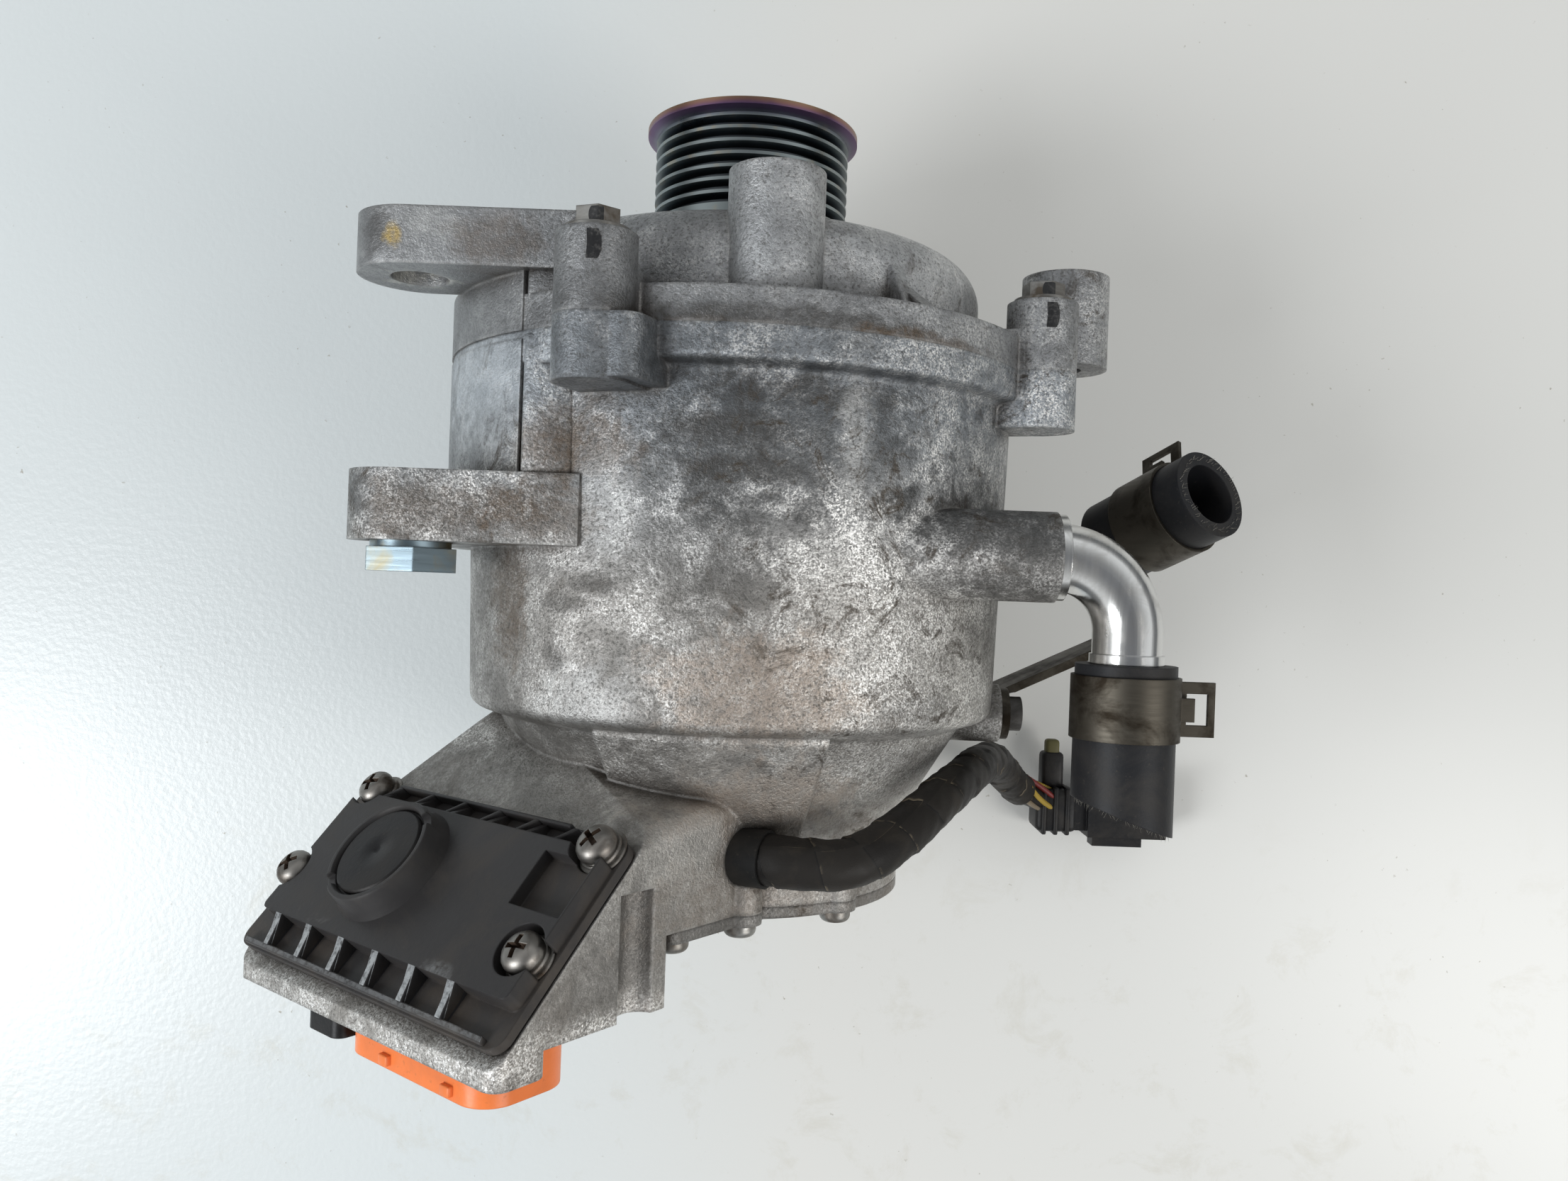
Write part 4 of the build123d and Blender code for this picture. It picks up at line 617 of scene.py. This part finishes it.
# %% Helpers that hold, change and drop pieces
def hold(*pieces):
    if bpy.context.object is not None and bpy.context.object.mode != "OBJECT":
        bpy.ops.object.mode_set(mode="OBJECT")
    bpy.ops.object.select_all(action="DESELECT")
    for piece in pieces:
        piece.select_set(True)
    if pieces:
        bpy.context.view_layer.objects.active = pieces[0]


def modify(piece, kind, **settings):
    hold(piece)
    modifier = piece.modifiers.new(kind.lower(), kind)
    for name, value in settings.items():
        setattr(modifier, name, value)
    bpy.ops.object.modifier_apply(modifier=modifier.name)


def drop(*pieces):
    for piece in pieces:
        bpy.data.objects.remove(piece, do_unlink=True)


def twin(piece, name):
    copy = piece.copy()
    copy.data = piece.data.copy()
    copy.name = name
    scene.collection.objects.link(copy)
    return copy


def put(piece, place, finish):
    piece.data.transform(place)
    piece.data.materials.clear()
    piece.data.materials.append(finish)
    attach(piece, "stator")
    return piece


print("piece helpers ready")

# %% A cube and a turned piece
def cube(name, size=(1, 1, 1)):
    hold()
    bpy.ops.mesh.primitive_cube_add(size=1, location=(0, 0, 0))
    piece = bpy.context.object
    piece.name = name
    piece.data.transform(Matrix.Diagonal((*size, 1)))
    return piece


def turned(name, steps, sides=40):
    hold()
    radius, height = [v * mm for v in steps[0]]
    bpy.ops.mesh.primitive_circle_add(vertices=sides, radius=radius, fill_type="NGON", location=(0, 0, 0))
    piece = bpy.context.object
    piece.name = name
    piece.data.transform(Matrix.Translation((0, 0, height)))
    bpy.ops.object.mode_set(mode="EDIT")
    bpy.ops.mesh.select_all(action="SELECT")
    for step in steps[1:]:
        next_radius, next_height = [v * mm for v in step]
        bpy.ops.mesh.extrude_region_move(TRANSFORM_OT_translate={"value": (0, 0, next_height - height)})
        bpy.ops.transform.resize(value=(next_radius / radius, next_radius / radius, 1))
        radius, height = next_radius, next_height
    bpy.ops.mesh.select_all(action="SELECT")
    bpy.ops.mesh.normals_make_consistent(inside=False)
    bpy.ops.object.mode_set(mode="OBJECT")
    bpy.ops.object.shade_smooth_by_angle(angle=math.radians(32))
    return piece


print("turned pieces ready")

# %% [markdown]
# ## Lid screws
# Each screw has a domed head with a cross recess, over a spring washer and a flat washer. The
# recess is cut with a cross of two bars. One screw is made, and the others are copies of it.

# %% Screw steel
screw_finish = smooth_metal("screw_zinc", (0.27, 0.255, 0.235, 1), (0.075, 0.055, 0.04, 1), 0.34)
recess_finish, shader = start_finish("rusted_recess")
rust = noise(recess_finish, 500, 5.0, 0.65)
colour = blend(recess_finish, rust, (0.020, 0.014, 0.010, 1), (0.085, 0.048, 0.026, 1))
settle(recess_finish, shader, colour, spread(recess_finish, rust, 0.3, 0.7, 0.7, 0.9))
print("screw finishes", screw_finish.name, recess_finish.name)

# %% One screw: radius and height of each step in millimetres
head = turned("lid_screw_head", ((3.0, 2.1), (4.4, 2.1), (4.9, 2.6), (5.0, 3.7), (4.7, 4.8), (4.0, 5.7),
                                 (2.9, 6.3), (1.4, 6.6)))
head_top, bar_size = 6.6 * mm, [v * mm for v in (5.6, 1.3, 4.4)]
head.data.materials.append(screw_finish)
head.data.materials.append(recess_finish)
bar = cube("recess_bar", bar_size)
bar.data.transform(Matrix.Translation((0, 0, head_top)))
cross_bar = twin(bar, "cross_bar")
cross_bar.data.transform(Matrix.Rotation(math.radians(90), 4, "Z"))
for cutter in (bar, cross_bar):
    cutter.data.materials.clear()
    cutter.data.materials.append(recess_finish)
    modify(head, "BOOLEAN", object=cutter, operation="DIFFERENCE", solver="EXACT", material_mode="TRANSFER")
drop(bar, cross_bar)
washer = turned("lid_washer", ((5.4, 0.0), (6.1, 0.1), (6.2, 0.5), (6.0, 0.8), (5.2, 0.9)))
spring = turned("lid_spring_washer", ((4.6, 0.9), (5.3, 1.0), (5.4, 1.5), (5.2, 2.0), (4.6, 2.1)))
print("faces on one head", len(head.data.polygons))

# %% Four copies: millimetres across and down the lid, and degrees turned
screw_places = ((43.5, -23, 20), (-47, -22, 62), (-47, 6.5, 10), (49.6, 5, 40))
screw_pieces = []
for number, (across, down, turn) in enumerate(screw_places, 1):
    place = lid_frame @ Matrix.Translation((across * mm, down * mm, 0))
    place = place @ Matrix.Rotation(math.radians(turn), 4, "Z")
    for part in (head, washer, spring):
        piece = twin(part, part.name + "_" + str(number))
        piece.data.transform(place)
        if part is not head:
            piece.data.materials.append(screw_finish)
        screw_pieces.append(piece)
drop(head, washer, spring)
hold(*screw_pieces)
bpy.ops.object.join()
screws = bpy.context.object
screws.name = "lid_screw_set"
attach(screws, "stator")
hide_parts("lid_screws")
print("faces on the four screws", len(screws.data.polygons))

# %% [markdown]
# ## Collar and cap
# A round cap closes a hole in the lid. It sits in a collar that stands well above the lid and has
# two notches in its rim for a tool. Both are turned, and the notches are cut with one bar.

# %% Collar with its notches
cap_place = lid_frame @ Matrix.Translation((11 * mm, -3 * mm, 0))
collar = turned("cap_collar", ((16.8, 3.0), (16.2, 5.2), (15.2, 6.8), (14.7, 11.2), (14.3, 11.8),
                               (13.2, 11.8), (12.8, 11.2), (12.6, 9.8)), sides=72)
notch_height, notch_turn = 12 * mm, math.radians(52)
notch = cube("notch", (60 * mm, 4.2 * mm, 3 * mm))
notch.data.transform(Matrix.Rotation(notch_turn, 4, "Z") @ Matrix.Translation((0, 0, notch_height)))
modify(collar, "BOOLEAN", object=notch, operation="DIFFERENCE", solver="EXACT")
drop(notch)
bpy.ops.object.shade_smooth_by_angle(angle=math.radians(32))
put(collar, cap_place, lid_finish)
print("collar faces", len(collar.data.polygons))

# %% Cap with its dimple
cap_steps = ((11.8, 8.5), (12.1, 9.8), (12.1, 10.8), (11.6, 11.4), (6.0, 11.6), (1.3, 11.6), (0.8, 11.3),
             (0.4, 11.2))
cap = turned("cap_disc", cap_steps, sides=72)
put(cap, cap_place, cap_finish)
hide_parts("inspection_cap")
print("cap rises to", max(height for radius, height in cap_steps), "mm above the lid's flange")

# %% [markdown]
# ## Paint ticks
# Someone checked each cover bolt and drew a black tick over its head. A tick is a thin wavy
# ribbon of paint that lies on the head, so it is a narrow grid, bent a little, pressed down on the
# head by a shrinkwrap and given a thickness.

# %% One paint tick
paint_finish, shader = start_finish("black_paint")
rubbed = noise(paint_finish, 900, 4.0, 0.7)
colour = blend(paint_finish, spread(paint_finish, rubbed, 0.5, 0.7), (0.008, 0.008, 0.009, 1),
               (0.06, 0.058, 0.055, 1))
settle(paint_finish, shader, colour, spread(paint_finish, rubbed, 0.3, 0.7, 0.35, 0.6))
paint_gap, paint_depth = 0.04 * mm, 0.08 * mm


def tick(name, target, centre, length, width, bend):
    hold()
    bpy.ops.mesh.primitive_grid_add(x_subdivisions=8, y_subdivisions=30, size=1, location=(0, 0, 0))
    ribbon = bpy.context.object
    ribbon.name = name
    for v in ribbon.data.vertices:
        ends = 1 - 1.6 * abs(v.co.y) ** 3
        v.co = Vector((v.co.x * width * ends + bend * v.co.y ** 2, v.co.y * length, 0))
    ribbon.data.transform(Matrix.Translation(centre))
    modify(ribbon, "SHRINKWRAP", target=solids[target], wrap_method="PROJECT", offset=paint_gap,
           use_project_z=True, use_negative_direction=True, use_positive_direction=False)
    modify(ribbon, "SOLIDIFY", thickness=paint_depth, offset=1.0)
    return put(ribbon, Matrix.Identity(4), paint_finish)


print("paint lies", paint_depth / mm, "mm thick")

# %% Ticks on two bolt heads and their bosses
bolt_circle, held_above = 88 * mm, 20 * mm
for number, angle in enumerate((111.2, 21.2), 1):
    x = bolt_circle * math.cos(math.radians(angle))
    z = bolt_circle * math.sin(math.radians(angle)) + held_above
    tick("paint_tick_head_" + str(number), "through_bolts", (x + 0.0004, -0.0353, z), 0.0036, 0.0034, 0.001)
    tick("paint_tick_boss_" + str(number), "front_cover", (x + 0.0010, -0.0432, z), 0.0066, 0.0032, -0.002)

# %% [markdown]
# ## Frayed hose ends
# The hoses were cut with a knife, which leaves short threads of the fabric layer standing at the
# cut. Each thread is a thin three-sided spike, and a ring of them makes one light piece.

# %% One ring of threads
import random

thread_root = 0.6 * mm
spike_faces = ((0, 1, 3), (1, 2, 3), (2, 0, 3), (2, 1, 0))


def threads(name, centre, axis, radius, count, seed, tilt=(0, 0, 0)):
    dice = random.Random(seed)
    axis = Vector(axis).normalized()
    side = axis.orthogonal().normalized()
    other = axis.cross(side)
    points, faces = [], []
    for i in range(count):
        turn = 2 * math.pi * (i + dice.uniform(-0.4, 0.4)) / count
        out = side * math.cos(turn) + other * math.sin(turn)
        root = Vector(centre) + out * (radius + dice.uniform(-0.0008, 0.0008))
        root += axis * out.dot(Vector(tilt)) * radius
        lean = axis + out * dice.uniform(-0.5, 0.6) + out.cross(axis) * dice.uniform(-0.7, 0.7)
        lean.normalize()
        length, width = dice.uniform(0.0006, 0.0020), dice.uniform(0.00010, 0.00020)
        across_lean = lean.orthogonal().normalized()
        third = lean.cross(across_lean)
        start = len(points)
        for k in range(3):
            corner = 2 * math.pi * k / 3
            reach = (across_lean * math.cos(corner) + third * math.sin(corner)) * width
            points.append(root - lean * thread_root + reach)
        points.append(root + lean * length)
        faces += [tuple(start + corner for corner in corners) for corners in spike_faces]
    mesh = bpy.data.meshes.new(name)
    mesh.from_pydata(points, [], faces)
    piece = bpy.data.objects.new(name, mesh)
    scene.collection.objects.link(piece)
    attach(piece, "stator")
    return piece


print("threads start", thread_root / mm, "mm inside the rubber")

# %% Threads at the cut hoses
thread_finish = polymer("hose_thread", (0.33, 0.31, 0.27, 1), (0.10, 0.09, 0.08, 1), 0.5, 0.7)
hose_length, threads_round = 0.0505, 90
low_axis = Vector((0.496, 0.353, 0.794)).normalized()
low_end = Vector((0.106, -0.1057, -0.0125)) + low_axis * hose_length
lower_threads = threads("lower_hose_threads", low_end, low_axis, 0.0108, threads_round, 3)
upper_end = (0.102, -0.1731, 0.0535)
upper_threads = threads("upper_hose_threads", upper_end, (0, -1, 0), 0.0110, threads_round, 5,
                        tilt=(0.364, 0, 0))
for piece in (lower_threads, upper_threads):
    piece.data.materials.append(thread_finish)
print("threads", len(lower_threads.data.polygons) // 4 + len(upper_threads.data.polygons) // 4)

# %% [markdown]
# ## Nubs on the orange shroud
# The shroud has small moulded nubs along the wall that faces up, where its mould was gated. They
# are softened blocks a few millimetres long. A place on the machine's side is given by its angle
# round the shaft, its distance from the axis, a step sideways and its place along the shaft. These
# helpers take their lengths in millimetres.

# %% Blocks and places on the side
def block_at(name, place, size, round_edge, finish):
    piece = cube(name, [v * mm for v in size])
    modify(piece, "BEVEL", width=round_edge * mm, segments=3)
    bpy.ops.object.shade_smooth_by_angle(angle=math.radians(35))
    return put(piece, place, finish)


def on_side(degrees, radius, sideways, along):
    angle = math.radians(degrees)
    out = Vector((math.cos(angle), 0, math.sin(angle)))
    side = Vector((-out.z, 0, out.x))
    place = (out * radius + side * sideways + Vector((0, along, 0))) * mm
    return frame_of(place, side, Vector((0, -1, 0)), out)


shroud_angle, shroud_wall = 129.0, 110.7
for number, (sideways, along) in enumerate(((4.7, -229.8), (-19.0, -229.9)), 1):
    spot = on_side(shroud_angle, shroud_wall, sideways, along)
    block_at("shroud_nub_" + str(number), spot, (3.4, 2.4, 2.0), 0.3, orange_finish)

# %% [markdown]
# ## Webs beside the lugs
# A straight web runs forward from the rear lug to the foot of the bolt boss and stiffens both, and
# the cover has a short one behind its own arm. Each is a block with softened edges whose lower part
# is sunk in the casting, in the casting's finish.

# %% Lug webs
web_edge = 1.2
behind_lug = Matrix.Translation((-0.0446, -0.0765, 0.0606))
behind_arm = Matrix.Translation((-0.0440, -0.0500, 0.0600))
web = block_at("lug_web", behind_lug, (12.6, 36, 16), web_edge, housing_finish)
block_at("arm_web", behind_arm, (13.8, 15, 15), web_edge, cover_finish)
print("web length in mm", round(web.dimensions.y / mm, 1))

# %% [markdown]
# ## Lips and ribs along the lid's edges
# A low lip runs along the lid's lower edge and another along its upper edge, and ribs tie them to
# the raised middle. The ribs' tops are what hands and tools touch, so they are scuffed almost
# white. A rib is a block whose outer end is pressed down, so its top slopes like the real one.

# %% Scuffed rib tops
rib_finish, shader = start_finish("scuffed_rib")
finish = rib_finish
fine = noise(finish, 700, 4.0, 0.68)
rubbed = times(finish, spread(finish, lid_lean(finish), 0.55, 0.80),
               spread(finish, fine, 0.32, 0.56, 0.25, 1.0))
colour = blend(finish, rubbed, (0.020, 0.019, 0.020, 1), (0.33, 0.345, 0.35, 1))
settle(finish, shader, colour, spread(finish, fine, 0.3, 0.7, 0.45, 0.60), bump(finish, fine, 0.25, 0.0002))
print("rib finish", rib_finish.name)

# %% One rib, with its sizes in millimetres
def rib(name, place, middle, ends, heights, width, finish, slant=0.0, taper=(0.8, 1.15)):
    piece = cube(name)
    for v in piece.data.vertices:
        outer, top = v.co.y > 0, v.co.z > 0
        across = middle + v.co.x * width * (taper[0] if top else taper[1]) + (slant if outer else 0.0)
        level = heights[outer] if top else -0.4
        v.co = Vector((across, ends[outer], level)) * mm
    modify(piece, "BEVEL", width=0.3 * mm, segments=2)
    return put(piece, place, finish)


straight = (1.0, 1.0)
ribs_per_edge, low_pitch, top_pitch = 6, 14.6, 14.2
for i in range(ribs_per_edge):
    middle = 39.0 - i * low_pitch
    rib("lid_low_rib_" + str(i + 1), lid_frame, middle, (17.2, 25.0), (4.6, 2.3), 2.4, rib_finish)
rib("lid_low_lip", lid_frame, 0.0, (24.6, 26.1), (1.9, 1.4), 98.5, lid_finish, taper=straight)
for i in range(ribs_per_edge):
    middle = 33.5 - i * top_pitch
    rib("lid_top_rib_" + str(i + 1), lid_frame, middle, (-25.0, -19.6), (3.3, 4.9), 1.7, lid_finish,
        slant=3.5)
rib("lid_top_lip", lid_frame, 0.0, (-26.0, -24.9), (3.0, 3.3), 70.0, lid_finish, taper=straight)

# %% [markdown]
# ## Gusset beside the tall boss
# The tall boss on the cover is stiffened by a gusset that falls away from it. It has a rib's
# shape, a block whose top slopes, so the same helper makes it, on the side of the cover.

# %% Boss gusset
gusset_place = on_side(55.0, 68.0, 0.0, -36.2)
gusset = rib("boss_gusset", gusset_place, 0.0, (0.0, 13.2), (1.4, 8.6), 4.4, cover_finish)
print("gusset length in mm", round(gusset.dimensions.y / mm, 1))

# %% [markdown]
# ## Cable
# The sensor cable is a bundle of wires under dark cloth tape. It leaves the drum sideways, bends
# down past the barrel and ends in a plug on the board. Its line is one smooth NURBS curve through
# the route, and the tape is a tube round that curve whose surface steps up at each overlap.

# %% Cable route
route = [(0.00168, -0.1865, 0.05319), (0.00530, -0.1865, 0.05488), (0.00893, -0.1865, 0.05657),
         (0.01255, -0.1865, 0.05826), (0.01708, -0.1865, 0.06038), (0.0335, -0.1874, 0.0595),
         (0.0455, -0.1815, 0.0505), (0.0595, -0.1725, 0.0350), (0.0730, -0.1685, 0.0060),
         (0.0830, -0.1705, -0.0260), (0.0920, -0.1785, -0.0550), (0.1030, -0.1895, -0.0750),
         (0.1210, -0.1955, -0.0805)]
line_data = bpy.data.curves.new("cable_line", "CURVE")
line_data.dimensions = "3D"
spline = line_data.splines.new("NURBS")
spline.points.add(len(route) - 1)
for point, place in zip(spline.points, route):
    point.co = (*place, 1.0)
spline.order_u = 3
spline.use_endpoint_u = True
spline.resolution_u = 24
line_object = bpy.data.objects.new("cable_line", line_data)
scene.collection.objects.link(line_object)
bpy.context.view_layer.update()
line_now = line_object.evaluated_get(bpy.context.evaluated_depsgraph_get())
line_mesh = bpy.data.meshes.new_from_object(line_now)
line_points = [v.co.copy() for v in line_mesh.vertices]
bpy.data.objects.remove(line_object, do_unlink=True)
cable_length = sum((b - a).length for a, b in zip(line_points, line_points[1:]))
print("cable length in mm", round(cable_length * 1000, 1), "points", len(line_points))

# %% Even steps and turning frames along a line
def even_points(points, step):
    kept, walked = [points[0].copy()], 0.0
    for a, b in zip(points, points[1:]):
        walked += (b - a).length
        if walked >= step:
            kept.append(b.copy())
            walked = 0.0
    if (points[-1] - kept[-1]).length > step * 0.4:
        kept.append(points[-1].copy())
    else:
        kept[-1] = points[-1].copy()
    return kept


def frames_along(points):
    frames, side, walked = [], None, 0.0
    for i, point in enumerate(points):
        ahead = (points[min(i + 1, len(points) - 1)] - points[max(i - 1, 0)]).normalized()
        side = ahead.orthogonal() if side is None else side - ahead * side.dot(ahead)
        side.normalize()
        walked += (point - points[i - 1]).length if i else 0.0
        frames.append((point, side.copy(), ahead.cross(side), walked))
    return frames


ring_step = 0.8 * mm
cable_frames = frames_along(even_points(line_points, ring_step))
print("rings along the cable", len(cable_frames))

# %% A tube round a line
uv_per_metre = 10


def tube_mesh(name, frames, radius_at, sides=32):
    points, faces, places = [], [], []
    for point, side, other, walked in frames:
        for k in range(sides):
            turn = 2 * math.pi * k / sides
            outward = side * math.cos(turn) + other * math.sin(turn)
            points.append(point + outward * radius_at(walked, turn))
            places.append((walked, k / sides))
    for i in range(len(frames) - 1):
        for k in range(sides):
            a, b = i * sides + k, i * sides + (k + 1) % sides
            faces.append((a, b, b + sides, a + sides))
    faces.append(tuple(range(sides))[::-1])
    faces.append(tuple(range((len(frames) - 1) * sides, len(frames) * sides)))
    mesh = bpy.data.meshes.new(name)
    mesh.from_pydata(points, [], faces)
    layer = mesh.uv_layers.new(name="UVMap")
    for loop in mesh.loops:
        walked, turn = places[loop.vertex_index]
        layer.data[loop.index].uv = (walked * uv_per_metre, turn)
    for face in mesh.polygons:
        face.use_smooth = len(face.vertices) == 4
    piece = bpy.data.objects.new(name, mesh)
    scene.collection.objects.link(piece)
    return piece


print("tube helper ready")

# %% Taped cable
tape_pitch, tape_lap = 11.8 * mm, 0.45 * mm
tape_reach, bundle_reach = 5.6 * mm, 3.7 * mm
tape_end = cable_length - 22 * mm
fade_length = 2 * mm


def tape_radius(walked, turn):
    if walked > tape_end:
        return bundle_reach + (tape_reach - bundle_reach) * max(0.0, 1 - (walked - tape_end) / fade_length)
    wound = walked / tape_pitch - turn / (2 * math.pi)
    lap, number = wound % 1.0, math.floor(wound)
    pucker = 0.00014 * math.sin(turn * 3 + number * 2.3) + 0.0001 * math.sin(turn * 7 + walked * 900)
    swell = 0.00055 * (1 - min(1.0, max(0.0, (walked - 0.045) / 0.04)))
    return tape_reach + tape_lap * (1 - lap) ** 0.6 + pucker + swell


cable = tube_mesh("cable", cable_frames, tape_radius)
print("cable faces", len(cable.data.polygons))

# %% Cloth tape
finish, shader = start_finish("cloth_tape")
spot = add(finish, "TexCoord", {}).outputs["UV"]
way = add(finish, "SeparateXYZ", {"Vector": spot})
wound = times(finish, way.outputs["X"], 1 / (uv_per_metre * tape_pitch))
wound = maths(finish, "SUBTRACT", wound, way.outputs["Y"])
lap = maths(finish, "FRACT", wound)
number = maths(finish, "FLOOR", wound)
shade = maths(finish, "FRACT", times(finish, number, 0.377))
cloud = noise(finish, 120, 4.0, 0.6, 0.4)
cloth = blend(finish, shade, (0.012, 0.0105, 0.0095, 1), (0.022, 0.019, 0.016, 1))
lip = times(finish, spread(finish, lap, 0.05, 0.0), spread(finish, cloud, 0.50, 0.60))
dust = spread(finish, cloud, 0.52, 0.72, 0.0, 0.35)
gap = spread(finish, lap, 0.955, 0.995, 0.0, 0.85)
colour = coats(finish, cloth, (dust, (0.050, 0.041, 0.031, 1)), (lip, (0.16, 0.13, 0.09, 1)),
               (gap, (0.006, 0.006, 0.006, 1)))
weave = bump(finish, noise(finish, 2600, 2.0, 0.5), 0.3, 0.0002)
settle(finish, shader, colour, spread(finish, cloud, 0.3, 0.7, 0.48, 0.66), weave, gloss=0.2)
cable.data.materials.append(finish)
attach(cable, "stator")
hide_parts("harness")
print("cable finish", finish.name)

# %% [markdown]
# ## Wires at the cable's ends
# The tape stops short of the plug, so the wires show there in their own colours. Each wire is a
# thin tube beside the cable's line that turns a little round it on the way.

# %% Wires
wire_colours = {"red": (0.16, 0.014, 0.012, 1), "yellow": (0.36, 0.24, 0.03, 1),
                "beige": (0.20, 0.16, 0.11, 1), "grey": (0.09, 0.09, 0.09, 1),
                "black": (0.012, 0.012, 0.012, 1), "white": (0.26, 0.24, 0.21, 1)}
wire_places = (("red", 0), ("yellow", 55), ("beige", 110), ("grey", 165), ("black", 215), ("white", 262),
               ("yellow", 310))
wire_radius, wire_reach, wire_twist = 0.95 * mm, 4.2 * mm, 70
bare = [f for f in cable_frames if f[3] > tape_end - 4 * mm]
bare_start = bare[0][3]
for number, (tint, angle) in enumerate(wire_places, 1):
    name = "wire_" + tint + "_" + str(number)
    moved = []
    for point, side, other, walked in bare:
        share = (walked - bare_start) / (cable_length - bare_start)
        turn = math.radians(angle + wire_twist * share)
        reach = wire_reach + 0.0007 * math.sin(math.pi * share + number)
        beside = (side * math.cos(turn) + other * math.sin(turn)) * reach
        moved.append((point + beside, side, other, walked))
    wire = tube_mesh(name, moved, lambda walked, turn: wire_radius, sides=12)
    skin = polymer(name, wire_colours[tint], brown_dust, 0.35, 0.42, grain=1500, gloss=0.35)
    wire.data.materials.append(skin)
    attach(wire, "stator")

# %% [markdown]
# ## Plug at the cable's end
# The plug is a small housing with a ribbed boot, a lever and an olive lock. All are plain moulded
# boxes at this size, so each is a softened block between two corners.

# %% Boot, lever and lock, with their corners in millimetres
def block_between(name, low, high, round_edge, finish):
    middle = Matrix.Translation([(l + h) / 2 * mm for l, h in zip(low, high)])
    return block_at(name, middle, [h - l for l, h in zip(low, high)], round_edge, finish)


olive_finish = polymer("olive_lock", (0.11, 0.10, 0.035, 1), brown_dust, 0.4, 0.45)
boot = block_between("plug_boot", (108.5, -203, -88), (123.5, -187.5, -73.5), 2.2, dark_plastic)
for i in range(3):
    low, high = (110.5 + i * 4.2, -203.8, -88.8), (112.2 + i * 4.2, -186.7, -72.7)
    block_between("plug_boot_rib_" + str(i), low, high, 0.6, dark_plastic)
lever = block_between("plug_lever", (111, -188, -85), (119, -174.5, -77.5), 1.6, dark_plastic)
lock = block_between("plug_lock", (112.5, -176, -83.5), (117.5, -170, -78.5), 1.2, olive_finish)

# The dressed machine has to stay inside the box of its solids.
